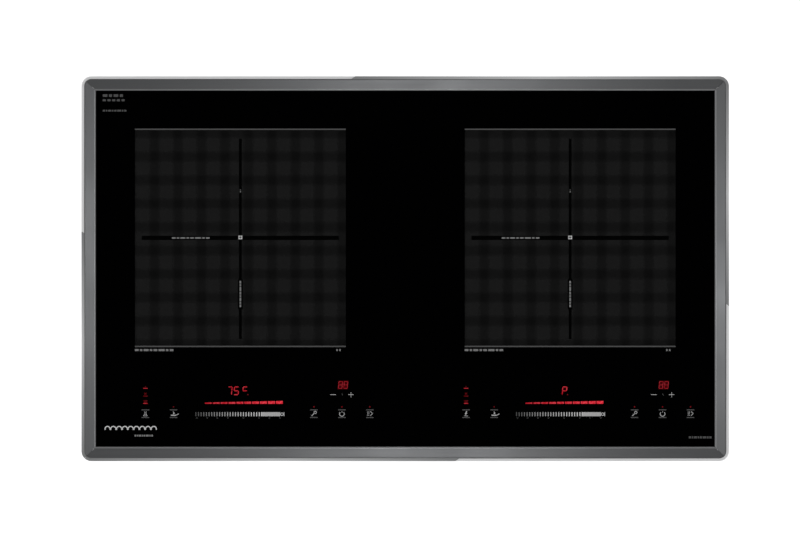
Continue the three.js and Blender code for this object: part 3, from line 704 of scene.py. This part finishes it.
def add_lit_display(side, at, reading):
    """Level bars and figures that shine through the glass. Each figure, and the timer, has a dim halo of
    painted glow: an emissive film that stands in for light spreading from the lit segments.
    """
    bright, dim = level_icons()
    bright = moved(bright, BUTTON_COLUMNS[0], 0)
    dim = moved(dim, BUTTON_COLUMNS[0], 0) + [disc(column, -5.7, 0.8) for column in BUTTON_COLUMNS[1:]]
    step = (GRAPH_END - GRAPH_START) / GRAPH_BARS
    for i in range(GRAPH_BARS):
        x0 = GRAPH_START + i * step
        x1 = x0 + step - 1.1
        rise = [1.4 + 1.9 * (x - GRAPH_START) / (GRAPH_END - GRAPH_START) for x in (x0, x1)]
        tops = [(x1, GRAPH_LOW + rise[1]), (x0, GRAPH_LOW + rise[0])]
        bright.append([(x0, GRAPH_LOW), (x1, GRAPH_LOW), *tops])
    for kind, x, width in reading:
        bright += figure(kind, x, FIGURE_LOW, width, FIGURE_HEIGHT)
    film(f"lit_display_{side}", bright, "bright", at, level=1)
    timer = figure("8", 92.3, 15.1, 4.7, 8.4, 0.13) + figure("8", 98.4, 15.1, 4.7, 8.4, 0.13)
    film(f"lit_timer_{side}", timer, "timer", at, level=1)
    # Painted glow: dim emissive shapes around the figures and the timer, standing in for light spreading from
    # the segments.
    halo = []
    for kind, x, width in reading:
        halo += figure(kind, x - 0.4, FIGURE_LOW - 0.4, width + 0.8, FIGURE_HEIGHT + 0.8, 0.4)
    halo += [[(91.6, 14.4), (103.2, 14.4), (104.3, 24.1), (92.7, 24.1)]]
    film(f"lit_halo_{side}", halo, "halo", at)
    point_x = reading[-1][1] + reading[-1][2] + 1.0
    dim.append(disc(point_x, FIGURE_LOW + 0.6, 0.7, 12))
    film(f"lit_lamps_{side}", dim, "lamp", at)


def add_controls(side, reading):
    centre = middle(f"touch_board_{side}")
    at = (centre.x, centre.y)
    add_button_prints(side, at)
    add_slider(side, at)
    add_lit_display(side, at, reading)


COIL_LOOPS = 9
COIL_LOOP_PITCH = 6.6


def add_corner_marks():
    """Neutral marks in the places of the printed names: the loops of a coil, and rows of dashes."""
    loops = []
    for i in range(COIL_LOOPS):
        loops.append(arc((i - (COIL_LOOPS - 1) / 2) * COIL_LOOP_PITCH, 0.6, 2.9, 1.1, -20, 200, 18))
    film("coil_mark", loops, "white", (-0.3134, -0.1835))
    film("coil_mark_dashes", dashes(21, 2.0), "mid", (-0.2985, -0.1905))
    rows = moved(dashes(23, 3.0, (3, 2, 3, 2)), -2, 11.6) + moved(dashes(25, 2.4, (2, 2, 2, 2, 2)), -1, 6.3)
    rows += moved(dashes(27, 2.0), 0, -5.6)
    film("glass_marks", rows, "dim", (-0.3318, 0.1860))
    film("plate_marks", dashes(26, 2.4), "dim", (0.3366, -0.1925))


# ---- carried-over CAD nodes

WELD = 0.002 * MM
FACET = math.radians(1)       # facets that meet at more than this are shaded apart

# CAD nodes that keep their mesh: their names, the endings, the material, the edges' rounding and its steps.
DRESSED = (
    ("frame_", ("front", "back"), "frame_x", 0.25, 2),
    ("frame_", ("left", "right"), "frame_y", 0.25, 2),
    ("worktop_seal_", ("front", "back", "left", "right"), "foam", 0.4, 2),
    ("corner_trim_", ("back_left", "front_right"), "trim", 0.3, 3),
    ("glass_", ("plate",), "glass", 0.15, 2),
    ("glass_", ("bond",), "silicone", 0, 0),
    ("base_", ("tray",), "zinc", 0, 0),
    ("connection_", ("plate",), "zinc", 0.2, 2),
    ("coil_", ("plate",), "aluminium", 0, 0),
    ("control_", ("tray",), "plastic", 0.2, 2),
    ("corner_key_", CORNERS, "aluminium", 0.2, 2),
    ("foot_", CORNERS, "silicone", 0.5, 3),
    ("clamp_bracket_", CORNERS, "zinc", 0.2, 2),
    ("clamp_claw_", CORNERS, "steel", 0.2, 2),
    ("ferrite_star_", SIDES, "ferrite", 0.3, 2),
    ("coil_carrier_", SIDES, "plastic", 0.3, 2),
    ("mica_sheet_", SIDES, "mica", 0, 0),
    ("temperature_sensor_", SIDES, "aluminium", 0.3, 2),
    ("fan_housing_", SIDES, "plastic", 0.3, 2),
    ("heat_sink_", SIDES, "aluminium", 0.2, 2),
    ("touch_board_", SIDES, "board", 0.15, 2),
    ("led_display_", SIDES, "window", 0.2, 2),
)


def dress(node, surface, softness, steps):
    """Gives a CAD node its material, and rounds its edges by a small bevel."""
    target = nodes[node]
    for material_slot in target.material_slots:
        material_slot.material = surfaces[surface][1]
    weld = target.modifiers.new("weld", "WELD")
    weld.merge_threshold = WELD
    if softness:
        bevel = target.modifiers.new("bevel", "BEVEL")
        bevel.width = softness * MM
        bevel.segments = steps
        bevel.limit_method = "ANGLE"
        bevel.angle_limit = SHARP
    split = target.modifiers.new("sharp_edges", "EDGE_SPLIT")
    split.split_angle = FACET


# ---- solid shapes, in millimetres

UPRIGHT = Matrix.Identity(4)
HANGING = Matrix.Rotation(math.pi, 4, "X")        # pointing down
BACKWARD = Matrix.Rotation(-math.pi / 2, 4, "X")  # pointing out of the back wall
RIBS = 20


def reach(shape, angle):
    """How far an outline of radius 1 reaches in a direction."""
    if shape == "hexagon":
        sector = math.radians(60)
        return math.cos(sector / 2) / math.cos(angle % sector - sector / 2)
    if shape == "ribbed":
        return 0.97 + 0.03 * math.tanh(3 * math.sin(RIBS * angle))
    if shape == "cross":
        arm = 0.26
        along = max(abs(math.cos(angle)), abs(math.sin(angle)))
        across = min(abs(math.cos(angle)), abs(math.sin(angle)))
        return min(1 / along, arm / max(across, arm / 2))
    return 1.0


def turned(build, profile, at=(0, 0, 0), aim=UPRIGHT, points=48, bored=False):
    """A body turned about an axis. A profile's steps are radius, height and, unless round, a shape."""
    place = Matrix.Translation(Vector(at) * MM) @ aim
    rings = []
    for radius, height, *shape in profile:
        turn = []
        for i in range(points):
            angle = 2 * math.pi * i / points
            far = radius * reach(shape[0] if shape else "round", angle)
            corner = Vector((far * math.cos(angle), far * math.sin(angle), height))
            turn.append(build.verts.new(place @ (corner * MM)))
        rings.append(turn)
    skin(build, rings, bored)


def block(build, lowest, highest, softness=0.0):
    """A box between two corners, with rounded edges."""
    size = Vector(highest) - Vector(lowest)
    centre = (Vector(highest) + Vector(lowest)) / 2
    place = Matrix.Translation(centre * MM) @ Matrix.Diagonal((*(size * MM), 1))
    corners = bmesh.ops.create_cube(build, size=1, matrix=place)["verts"]
    if softness:
        edges = {edge for corner in corners for edge in corner.link_edges}
        bmesh.ops.bevel(build, geom=list(edges), offset=softness * MM, segments=2, affect="EDGES")


def strand(build, path, half_width, half_height, points=8):
    """A wire of oval section along a path, its section kept upright."""
    rings = []
    for i, here in enumerate(path):
        ahead = path[min(i + 1, len(path) - 1)] - path[max(i - 1, 0)]
        side = ahead.cross(Vector((0, 0, 1)))
        side = side.normalized() if side.length > 1e-6 else Vector((1, 0, 0))
        lift = side.cross(ahead).normalized()
        turn = []
        for k in range(points):
            angle = 2 * math.pi * k / points
            offset = side * half_width * math.cos(angle) + lift * half_height * math.sin(angle)
            turn.append(build.verts.new((here + offset) * MM))
        rings.append(turn)
    skin(build, rings)


def solid(name, build, surface, body="casing", stands_for=None):
    """A piece from a bmesh, shaded smooth except over its sharp edges."""
    bmesh.ops.recalc_face_normals(build, faces=build.faces)
    mesh = to_mesh(name, build)
    piece = add_piece(name, mesh, surface, body=body, smooth=True)
    mesh.set_sharp_from_angle(angle=SHARP)
    if stands_for:
        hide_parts(stands_for)
    return piece


# ---- outside fittings

def screw_head(radius, height):
    """The profile of a pan head with a cross recess, standing on its seat."""
    recess = 0.55 * radius
    return [
        (radius, 0),
        (radius, 0.45 * height),
        (0.93 * radius, 0.8 * height),
        (0.72 * radius, height),
        (0.62 * radius, height),
        (recess, height, "cross"),
        (0.8 * recess, 0.35 * height, "cross"),
    ]


def thread(radius, depth, pitch, start, end):
    """The profile of a screw thread, drawn as rings."""
    turns = int((end - start) / pitch)
    steps = []
    for i in range(turns):
        base = start + i * pitch
        steps += [(radius - depth, base + 0.1 * pitch), (radius, base + 0.5 * pitch)]
        steps += [(radius, base + 0.6 * pitch)]
    steps.append((radius - depth, end))
    return steps


GLAND_MOUTH = 5.0             # the bore that the cord passes through
GLAND_NECK = 7.6
GLAND_THREAD = 15.4           # how far the thread reaches through the wall


def add_gland():
    """A hexagonal flange, a threaded neck, a ribbed dome nut and the rubber seal in its mouth."""
    lowest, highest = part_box("cable_gland")
    centre = middle("cable_gland") / MM
    length = (highest.y - lowest.y) / MM
    at = (centre.x, lowest.y / MM, centre.z)
    flange = (highest.x - lowest.x) / MM / 2
    nut = GLAND_THREAD + 8
    body = bmesh.new()
    profile = thread(8.0, 0.6, 1.5, 0.0, GLAND_THREAD)
    profile += [(flange - 0.9, GLAND_THREAD, "hexagon"), (flange, GLAND_THREAD + 0.6, "hexagon")]
    profile += [(flange, GLAND_THREAD + 5.3, "hexagon"), (flange - 1.0, GLAND_THREAD + 6, "hexagon")]
    profile += [(GLAND_NECK, GLAND_THREAD + 6.1), (GLAND_NECK, nut)]
    profile += [(9.2, nut, "ribbed"), (9.7, nut + 0.5, "ribbed")]
    profile += [(9.7, nut + 4.2, "ribbed"), (9.0, nut + 4.8), (8.2, nut + 6.0), (7.2, length - 0.2)]
    profile += [(6.7, length), (6.3, length), (6.1, length - 0.4), (6.1, nut), (GLAND_MOUTH + 0.3, nut)]
    profile += [(GLAND_MOUTH + 0.3, 0.0)]
    turned(body, profile, at, BACKWARD, points=160, bored=True)
    solid("cable_gland_body", body, "plastic", stands_for="cable_gland")
    seal = bmesh.new()
    rim = [(GLAND_MOUTH, nut + 0.2), (6.0, nut + 0.2), (6.0, length - 0.9), (5.6, length - 0.5)]
    rim += [(GLAND_MOUTH + 0.1, length - 0.9)]
    turned(seal, rim, at, BACKWARD, bored=True)
    solid("cable_gland_seal", seal, "silicone")


PLATE_SCREW_INSET = 4.0


def add_plate_screws():
    """Four screws hold the connection plate to the back wall."""
    lowest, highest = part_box("connection_plate")
    build = bmesh.new()
    for x in (lowest.x / MM + PLATE_SCREW_INSET, highest.x / MM - PLATE_SCREW_INSET):
        for z in (lowest.z / MM + 7, highest.z / MM - 6):
            turned(build, screw_head(2.6, 1.7), (x, highest.y / MM, z), BACKWARD)
    solid("connection_plate_screws", build, "steel")


CLAMP_THREAD = 2.2
CLAMP_HEAD = 3.9
CLAMP_HEAD_HEIGHT = 3.2
BRACKET_FACE = 341.6          # the outer face of a bracket, from the middle of the casing
RIVET = [(1.5, 0), (1.4, 0.3), (0.9, 0.6), (0.3, 0.7)]
RIVET_SPREAD = 4.6
RIVET_Z = 37


def add_clamp_fittings(corner):
    """The clamp's screw with its thread and cross recess, and the rivets that hold its bracket."""
    lowest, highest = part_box(f"clamp_screw_{corner}")
    centre = middle(f"clamp_screw_{corner}") / MM
    length = (highest.z - lowest.z) / MM
    neck = length - CLAMP_HEAD_HEIGHT
    build = bmesh.new()
    profile = [(0.9, 0.0), (1.3, 0.6)] + thread(CLAMP_THREAD, 0.45, 1.0, 0.7, neck - 0.2)
    head = screw_head(CLAMP_HEAD, CLAMP_HEAD_HEIGHT)
    profile += [(radius, neck + height, *shape) for radius, height, *shape in head]
    turned(build, profile, (centre.x, centre.y, lowest.z / MM))
    solid(f"clamp_screw_detail_{corner}", build, "steel", stands_for=f"clamp_screw_{corner}")
    outward = 1 if centre.x > 0 else -1
    aim = Matrix.Rotation(outward * math.pi / 2, 4, "Y")
    rivets = bmesh.new()
    for y in (-RIVET_SPREAD, RIVET_SPREAD):
        turned(rivets, RIVET, (outward * BRACKET_FACE, centre.y + y, RIVET_Z), aim, 24)
    solid(f"clamp_rivets_{corner}", rivets, "aluminium")


FLOOR_SCREW = 2.7
FLOOR_SCREW_HEIGHT = 1.5
FAN_SCREW_REACH = 41.0        # from the fan's axis, each way
FOOT_SCREW_Z = 3.5


def add_floor_screws():
    """Screw heads under the tray, below the fans' corners and the boards' posts."""
    floor = tray_floor / MM
    head = screw_head(FLOOR_SCREW, FLOOR_SCREW_HEIGHT)
    for side in SIDES:
        build = bmesh.new()
        fan = middle(f"fan_rotor_{side}") / MM
        ways = (-FAN_SCREW_REACH, FAN_SCREW_REACH)
        spots = [(fan.x + i, fan.y + j) for i in ways for j in ways]
        board_low, board_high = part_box(f"power_board_{side}")
        for x in (board_low.x / MM + 6, board_high.x / MM - 6):
            spots += [(x, board_low.y / MM + 6), (x, board_high.y / MM - 6)]
        for x, y in spots:
            turned(build, head, (x, y, floor), HANGING)
        solid(f"tray_screws_{side}", build, "steel")
    build = bmesh.new()
    for corner in CORNERS:
        foot = middle(f"foot_{corner}") / MM
        turned(build, screw_head(3.3, 2.0), (foot.x, foot.y, FOOT_SCREW_Z), HANGING)
    solid("foot_screws", build, "steel")


BEAD_HEIGHT = 0.8
BEAD_HALF_WIDTH = 4.0
BEAD_STEPS = 6
BEAD_POINTS = 24
# Middle of each bead, and how far its straight part reaches each way along x or y.
BEADS = [(x, y, 96.0, 0.0) for x in (-188, 188) for y in (-168.0, 168.0)]
BEADS += [(0, y, 62.0, 0.0) for y in (-168.0, 168.0)]
BEADS += [(x, -90.0, 0.0, 58.0) for x in (-60.0, 0.0, 60.0)]


def add_beads():
    """Pressed stiffening beads under the tray's floor."""
    build = bmesh.new()
    floor = tray_floor / MM
    for x, y, reach_x, reach_y in BEADS:
        rings = []
        for i in range(BEAD_STEPS + 1):
            slope = i / BEAD_STEPS * math.pi / 2
            inset = BEAD_HALF_WIDTH * (1 - math.cos(slope))
            z = floor - BEAD_HEIGHT * math.sin(slope)
            radius = BEAD_HALF_WIDTH - min(inset, BEAD_HALF_WIDTH - 0.2)
            ring_points = []
            for k in range(BEAD_POINTS):
                angle = 2 * math.pi * k / BEAD_POINTS
                end_x = math.copysign(reach_x, math.cos(angle + 0.01))
                end_y = math.copysign(reach_y, math.sin(angle + 0.01))
                corner = x + end_x + radius * math.cos(angle), y + end_y + radius * math.sin(angle), z
                ring_points.append(build.verts.new([part * MM for part in corner]))
            rings.append(ring_points)
        skin(build, rings)
    solid("tray_beads", build, "zinc")


LABEL_SIZE = (92.0, 52.0)
LABEL_PLACE = (0.0, 112.0)


def add_label():
    """A plain rating label under the floor: a foil plate with rows of dashes and an empty frame."""
    build = bmesh.new()
    floor = tray_floor / MM
    half_x, half_y = LABEL_SIZE[0] / 2, LABEL_SIZE[1] / 2
    x, y = LABEL_PLACE
    block(build, (x - half_x, y - half_y, floor - 0.3), (x + half_x, y + half_y, floor - 0.01))
    solid("label_foil", build, "foil")
    marks = []
    for row in range(6):
        pattern = (3, 2, 4, 2, 3, 5, 2, 3) if row % 2 else (4, 3, 2, 5, 2, 4)
        marks += moved(dashes(46 - 5 * (row % 3), 1.8, pattern), -17, 17 - 6.4 * row)
    frame_x, frame_y = 30, 4
    for offset in (-11, 11):
        marks.append(bar(frame_x - 11.5, frame_y + offset - 0.5, frame_x + 11.5, frame_y + offset + 0.5))
        marks.append(bar(frame_x + offset - 0.5, frame_y - 10.5, frame_x + offset + 0.5, frame_y + 10.5))
    film("label_marks", marks, "black", (x * MM, y * MM), height=tray_floor - 0.34 * MM)


# ---- inside works

ROTOR_HUB = 17.0
ROTOR_TIP = 42.0
ROTOR_BLADES = 9
BLADE_CHORD = 17.0
BLADE_SWEEP = 24.0            # degrees by which the tip leads the root
BLADE_THICKNESS = 1.3
BLADE_PITCH = (42.0, 27.0)    # degrees at the root and at the tip
BLADE_STATIONS = 8            # steps from root to tip, and along the chord


def blade_section(radius, start_angle, pitch):
    """The outline of a blade at one radius, wrapped round the axis, as (x, y, z)."""
    upper, lower = [], []
    for i in range(BLADE_STATIONS + 1):
        along = i / BLADE_STATIONS - 0.5
        camber = 1.6 * (0.25 - along ** 2) * 4
        half = BLADE_THICKNESS / 2 * math.sqrt(max(0.06, 1 - (2 * along) ** 4))
        for line, lift in ((upper, half), (lower, -half)):
            chord = along * BLADE_CHORD
            forward = chord * math.cos(pitch) - (camber + lift) * math.sin(pitch)
            rise = chord * math.sin(pitch) + (camber + lift) * math.cos(pitch)
            angle = start_angle + forward / radius
            line.append(Vector((radius * math.cos(angle), radius * math.sin(angle), rise)))
    return upper + lower[::-1]


def add_rotor(side):
    """A moulded fan rotor with a domed hub and swept, cambered blades."""
    centre = middle(f"fan_rotor_{side}") / MM
    lowest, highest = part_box(f"fan_rotor_{side}")
    half = (highest.z - lowest.z) / MM / 2
    build = bmesh.new()
    hub = [(ROTOR_HUB - 1.5, -half), (ROTOR_HUB - 0.4, -half + 0.4)]
    hub += [(ROTOR_HUB, -half + 1.5), (ROTOR_HUB, half - 2.6)]
    hub += [(ROTOR_HUB - 0.7, half - 1.0), (ROTOR_HUB - 2.4, half - 0.1), (ROTOR_HUB - 3.2, half)]
    hub += [(ROTOR_HUB - 4.4, half), (ROTOR_HUB - 4.8, half - 0.5), (1.8, half - 0.5), (1.6, half - 1.6)]
    turned(build, hub, centre, points=64)
    for blade in range(ROTOR_BLADES):
        rings = []
        for i in range(BLADE_STATIONS + 1):
            out = i / BLADE_STATIONS
            radius = ROTOR_HUB - 0.6 + (ROTOR_TIP - ROTOR_HUB + 0.5) * out
            sweep = math.radians(BLADE_SWEEP) * out ** 1.6
            start = 2 * math.pi * blade / ROTOR_BLADES + sweep
            pitch = math.radians(BLADE_PITCH[0] + (BLADE_PITCH[1] - BLADE_PITCH[0]) * out)
            section = blade_section(radius, start, pitch)
            rings.append([build.verts.new((centre + corner) * MM) for corner in section])
        skin(build, rings)
    rotor = f"fan_rotor_{side}"
    solid(f"fan_blades_{side}", build, "plastic", f"{rotor}_body", rotor)


WINDING_START = 31.5
WINDING_END = 103.4
WINDING_PITCH = 3.0
WINDING_STEPS = 72
WINDING_HALF = (1.42, 2.4)    # half the width and height of the wire


def add_winding(side):
    """A flat spiral of litz wire."""
    centre = middle(f"coil_winding_{side}") / MM
    turns = (WINDING_END - WINDING_START) / WINDING_PITCH
    path = []
    for i in range(int(turns * WINDING_STEPS) + 1):
        angle = 2 * math.pi * i / WINDING_STEPS
        radius = WINDING_START + WINDING_PITCH * i / WINDING_STEPS
        path.append(centre + Vector((radius * math.cos(angle), radius * math.sin(angle), 0)))
    build = bmesh.new()
    strand(build, path, *WINDING_HALF, 10)
    solid(f"litz_spiral_{side}", build, "copper", stands_for=f"coil_winding_{side}")


BOARD_UNDERSIDE = 17.0
BOARD_TOP = 18.6
POST_INSET = 6.0
POST = [(3.0, 0, "hexagon"), (3.0, 7.6, "hexagon")]
LEG_PITCH = 1.27
POLE_PITCH = 9
CORE_RADIUS = 9.2             # of a choke's ring core, to the middle of the ring
CORE_HALF = 3.6               # half the thickness of the ring
WIRE_RADIUS = 0.6
WIRE_TURNS = 30


def add_choke(name, x, y):
    """A ring core wound with enamelled wire, lying on a board."""
    base = BOARD_TOP + CORE_HALF + 2 * WIRE_RADIUS
    core = bmesh.new()
    inner, outer = CORE_RADIUS - CORE_HALF, CORE_RADIUS + CORE_HALF
    soft = 0.8
    profile = [(inner + soft, -CORE_HALF), (outer - soft, -CORE_HALF), (outer, soft - CORE_HALF)]
    profile += [(outer, CORE_HALF - soft), (outer - soft, CORE_HALF), (inner + soft, CORE_HALF)]
    profile += [(inner, CORE_HALF - soft), (inner, soft - CORE_HALF)]
    turned(core, profile, (x, y, base), bored=True)
    solid(f"choke_core_{name}", core, "ferrite")
    path = []
    steps = 16 * WIRE_TURNS
    around = CORE_HALF + WIRE_RADIUS + 0.1
    for i in range(steps + 1):
        turn = 2 * math.pi * WIRE_TURNS * i / steps
        angle = math.radians(340) * i / steps
        square = 1 / max(abs(math.cos(turn)), abs(math.sin(turn))) ** 0.7
        far = CORE_RADIUS + around * square * math.cos(turn)
        rise = around * square * math.sin(turn)
        path.append(Vector((x + far * math.cos(angle), y + far * math.sin(angle), base + rise)))
    wire = bmesh.new()
    strand(wire, path, WIRE_RADIUS, WIRE_RADIUS, 6)
    solid(f"choke_wire_{name}", wire, "copper")


def capacitor_profile(radius, height):
    """An electrolytic capacitor: a sleeve crimped near its foot, and a bare top."""
    return [
        (radius - 0.4, 0), (radius, 0.4), (radius, 1.6), (radius - 0.5, 2.1), (radius, 2.6),
        (radius, height - 0.8), (radius - 0.6, height), (radius - 1.1, height), (radius - 1.2, height - 0.3),
    ]


def add_board(name, node, parts):
    """A populated board in place of a CAD node: the laminate, its posts and screws, and its components."""
    lowest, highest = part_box(node)
    x0, y0, x1, y1 = lowest.x / MM, lowest.y / MM, highest.x / MM, highest.y / MM
    centre_x, centre_y = (x0 + x1) / 2, (y0 + y1) / 2
    laminate = bmesh.new()
    block(laminate, (x0, y0, BOARD_UNDERSIDE), (x1, y1, BOARD_TOP), 0.15)
    solid(f"laminate_{name}", laminate, "board", stands_for=node)
    posts = bmesh.new()
    for x in (x0 + POST_INSET, x1 - POST_INSET):
        for y in (y0 + POST_INSET, y1 - POST_INSET):
            turned(posts, POST, (x, y, lowest.z / MM + 0.02))
            turned(posts, screw_head(2.6, 1.6), (x, y, BOARD_TOP))
    solid(f"board_posts_{name}", posts, "steel")
    cases = bmesh.new()
    tins = bmesh.new()
    pins = bmesh.new()
    marks = []
    for kind, x, y, width, depth, height in parts:
        x += centre_x
        y += centre_y
        top = BOARD_TOP + height
        left, right = x - width / 2, x + width / 2
        front, back = y - depth / 2, y + depth / 2
        if kind == "case":
            block(cases, (left, front, BOARD_TOP), (right, back, top), 0.9)
            marks.append((x, y, top, width))
        elif kind == "choke":
            add_choke(f"{name}_{len(marks)}", x, y)
        elif kind == "tin":
            turned(tins, capacitor_profile(width / 2, height), (x, y, BOARD_TOP), points=32)
        elif kind == "chip":
            block(cases, (left, front, BOARD_TOP + 0.3), (right, back, top), 0.2)
            count = int(width / 1.3)
            for i in range(count):
                leg = x + (i - (count - 1) / 2) * LEG_PITCH
                block(pins, (leg - 0.2, front - 1, BOARD_TOP), (leg + 0.2, back + 1, BOARD_TOP + 0.25))
        elif kind == "terminals":
            count = int(width / POLE_PITCH)
            for i in range(count):
                pole = x + (i - (count - 1) / 2) * POLE_PITCH
                block(cases, (pole - 4.3, front, BOARD_TOP), (pole + 4.3, back, top), 0.6)
                turned(pins, screw_head(2.6, 1.2), (pole, y, top))
    solid(f"component_cases_{name}", cases, "plastic")
    solid(f"component_pins_{name}", pins, "steel")
    if tins.verts:
        solid(f"capacitors_{name}", tins, "aluminium")
    for i, (x, y, top, width) in enumerate(marks):
        rows = moved(dashes(0.7 * width, 1.2), 0, 2) + moved(dashes(0.5 * width, 1.2, (3, 2, 4)), 0, -2)
        film(f"case_marks_{name}_{i}", rows, "mid", (x * MM, y * MM), height=(top + 0.01) * MM)


# Kind, place from the board's middle, width, depth and height, in millimetres.
POWER_PARTS = [
    ("case", -70, 55, 32, 20, 26),
    ("case", -30, 55, 32, 20, 26),
    ("choke", 53, 50, 26, 26, 10),
    ("tin", 76, 50, 12, 12, 20),
    ("tin", 76, 32, 10, 10, 16),
    ("case", -75, 15, 16, 24, 18),
    ("tin", 30, 2, 8, 8, 12),
    ("tin", 41, 2, 8, 8, 12),
    ("chip", -22, 8, 14, 7, 2.4),
    ("chip", 6, 12, 10, 5, 2.0),
    ("chip", 74, -34, 16, 8, 2.6),
    ("terminals", -76, -50, 27, 12, 12),
] + [("chip", -44 + 9 * i, 30, 3.2, 1.8, 0.9) for i in range(10)]
FILTER_PARTS = [
    ("terminals", 0, 24, 54, 16, 14),
    ("choke", -24, -18, 26, 26, 10),
    ("case", 24, -18, 30, 16, 20),
    ("tin", 4, 0, 8, 8, 12),
]


# ---- floor and light

FLOOR_HALF = 4.0
FLOOR_GAP = 0.2 * MM


def add_floor():
    build = bmesh.new()
    bmesh.ops.create_grid(build, x_segments=4, y_segments=4, size=FLOOR_HALF)
    mesh = to_mesh("floor", build)
    floor = bpy.data.objects.new("floor", mesh)
    bpy.context.scene.collection.objects.link(floor)
    floor.location.z = low.z - FLOOR_GAP
    look = Look("floor", (0.9, 0.9, 0.9), roughness=0.9, emission_strength=0.75)
    look.shader.inputs["Emission Color"].default_value = (1, 1, 1, 1)
    mesh.materials.append(look.material)


LIGHT_HEIGHT = 1.2            # above the rim
BEVEL_MIRROR_X = 38.5         # degrees off the vertical at which the left and right bevels mirror the camera
BEVEL_MIRROR_Y = 36.0         # the same for the front and back bevels


def add_light(name, direction, width, depth, power, shift=0.0):
    """A soft box that stands where the bevel on its side of the frame mirrors it to the camera."""
    data = bpy.data.lights.new(name, "AREA")
    data.shape = "RECTANGLE"
    data.size = width
    data.size_y = depth
    data.energy = power
    light = bpy.data.objects.new(name, data)
    bpy.context.scene.collection.objects.link(light)
    x, y = direction
    edge = abs(x) * rim_half.x + abs(y) * rim_half.y
    tilt = math.radians(BEVEL_MIRROR_X if x else BEVEL_MIRROR_Y)
    away = edge + LIGHT_HEIGHT * math.tan(tilt)
    light.location = (x * away + abs(y) * shift, y * away + abs(x) * shift, high.z + LIGHT_HEIGHT)
    aim = light.location - Vector((x * edge, y * edge, high.z))
    light.rotation_mode = "QUATERNION"
    light.rotation_quaternion = aim.to_track_quat("Z", "Y")


DARK_CONE = 0.988             # height of a direction (1 is straight up) where the dark ceiling begins
LIGHT_CONE = 0.94             # height of a direction where the room has its full brightness
CEILING = 0.004               # what is left of the room's brightness inside the dark cone
ROOM_BASE = 0.17
ROOM_HORIZON = 0.75           # added where the room is seen level
ROOM_SIDES = 0.66             # added to the left and right, high up


def add_world():
    """A light room with a dark ceiling patch, which the glass mirrors when it is seen from above."""
    world = bpy.data.worlds.new("room")
    world.use_nodes = True
    bpy.context.scene.world = world
    room = Nodes(world.node_tree)
    x, _, z = room.split(room.node("ShaderNodeTexCoord").outputs["Generated"])
    height = room.math("MAXIMUM", z, 0.0)
    lowness = room.math("MULTIPLY", room.math("SUBTRACT", 1.0, height), ROOM_HORIZON)
    high_up = room.math("MULTIPLY", height, ROOM_SIDES)
    sideways = room.math("MULTIPLY", room.math("MULTIPLY", x, x), high_up)
    level = room.math("ADD", room.math("ADD", lowness, sideways), ROOM_BASE)
    ceiling = room.remap(z, LIGHT_CONE, DARK_CONE, 1.0, CEILING, interpolation_type="SMOOTHSTEP")
    background = room.tree.nodes["Background"]
    background.inputs["Color"].default_value = (1, 1, 1, 1)
    room.join(room.math("MULTIPLY", level, ceiling), background.inputs["Strength"])


def add_lights():
    add_light("light_front", (0, -1), 0.3, 0.3, 1.0, shift=0.03)
    add_light("light_back", (0, 1), 0.3, 0.3, 1.0, shift=0.04)
    add_light("light_left", (-1, 0), 0.1, 0.15, 0.62, shift=0.015)
    add_light("light_right", (1, 0), 0.2, 0.2, 0.72, shift=-0.05)


# ---- build

bpy.context.scene.view_settings.view_transform = "Standard"
add_camera()
add_floor()
add_world()
add_lights()

register(
    None,                     # only on CAD nodes, which have slots of their own
    glass=black_glass(),
    frame_x=brushed_frame("brushed_frame_x", True),
    frame_y=brushed_frame("brushed_frame_y", False),
    trim=grained("polished_trim", 700.0, 3, 0.5, TRIM_TONES, (0.66, 0.74), (0.05, 0.01), metallic=0.35),
    foam=rubber("foam_rubber", 0.016, 2200.0),
    mica=mica(),
    window=grained("display_window", 400.0, 3, 0.5, WINDOW_TONES, (0.25, 0.4), ior=1.5),
)
register("zinc_sheet", zinc=zinc_sheet())
register("plated_steel", steel=plated_steel())
register(
    "bare_aluminium",
    aluminium=grained("rolled_aluminium", ROLLED, 4, 0.6, SHEET_TONES, (0.28, 0.42), (0.1, 0.02), metallic=1),
    foil=grained("label_foil", DRAWN, 3, 0.5, FOIL_TONES, (0.38, 0.5), (0.05, 0.01), metallic=0.6),
)
register("silicone", silicone=rubber("silicone", 0.012, 900.0))
register("black_plastic", plastic=moulded_plastic())
register("circuit_board", board=circuit_board())
register("ferrite", ferrite=grained("ferrite", 1500.0, 4, 0.7, FERRITE_TONES, (0.5, 0.7), (0.3, 0.03)))
register(
    "copper_litz",
    copper=grained("copper_litz", STRANDED, 3, 0.5, COPPER_TONES, (0.3, 0.5), (0.6, 0.15), metallic=1),
)
register(
    "grey_print",
    zone=zone_ink(),
    black=print_ink("black_ink", 0.0006, 0.0012),
    dim=print_ink("dim_ink", 0.095, 0.13),
    mid=print_ink("mid_ink", 0.22, 0.34),
    light=print_ink("light_ink", 0.52, 0.68),
    white=print_ink("white_ink", 0.8, 0.95),
    fading=fading_ink("fading_ink", SLIDER_STEP * SLIDER_TICKS * MM, 0.09, 0.95),
)
register(
    "red_light",
    bright=red_light("red_light", 0.95),
    timer=red_light("red_timer", 0.42),
    lamp=red_light("red_lamp", 0.2),
    halo=red_light("red_halo", 0.05),
)
for prefix, endings, kind, softness, steps in DRESSED:
    for ending in endings:
        dress(prefix + ending, kind, softness, steps)

READING_LEFT = (("7", -34.2, 5.2), ("5", -27.2, 5.8), ("degree", -17.2, 5.6))
READING_RIGHT = (("P", -18.4, 5.6),)
for name in SIDES:
    add_zone(name)
add_controls("left", READING_LEFT)
add_controls("right", READING_RIGHT)
add_corner_marks()

add_gland()
add_plate_screws()
add_floor_screws()
add_beads()
add_label()
for name in CORNERS:
    add_clamp_fittings(name)
for name in SIDES:
    add_rotor(name)
    add_winding(name)
    add_board(name, f"power_board_{name}", POWER_PARTS)
add_board("filter", "filter_board", FILTER_PARTS)
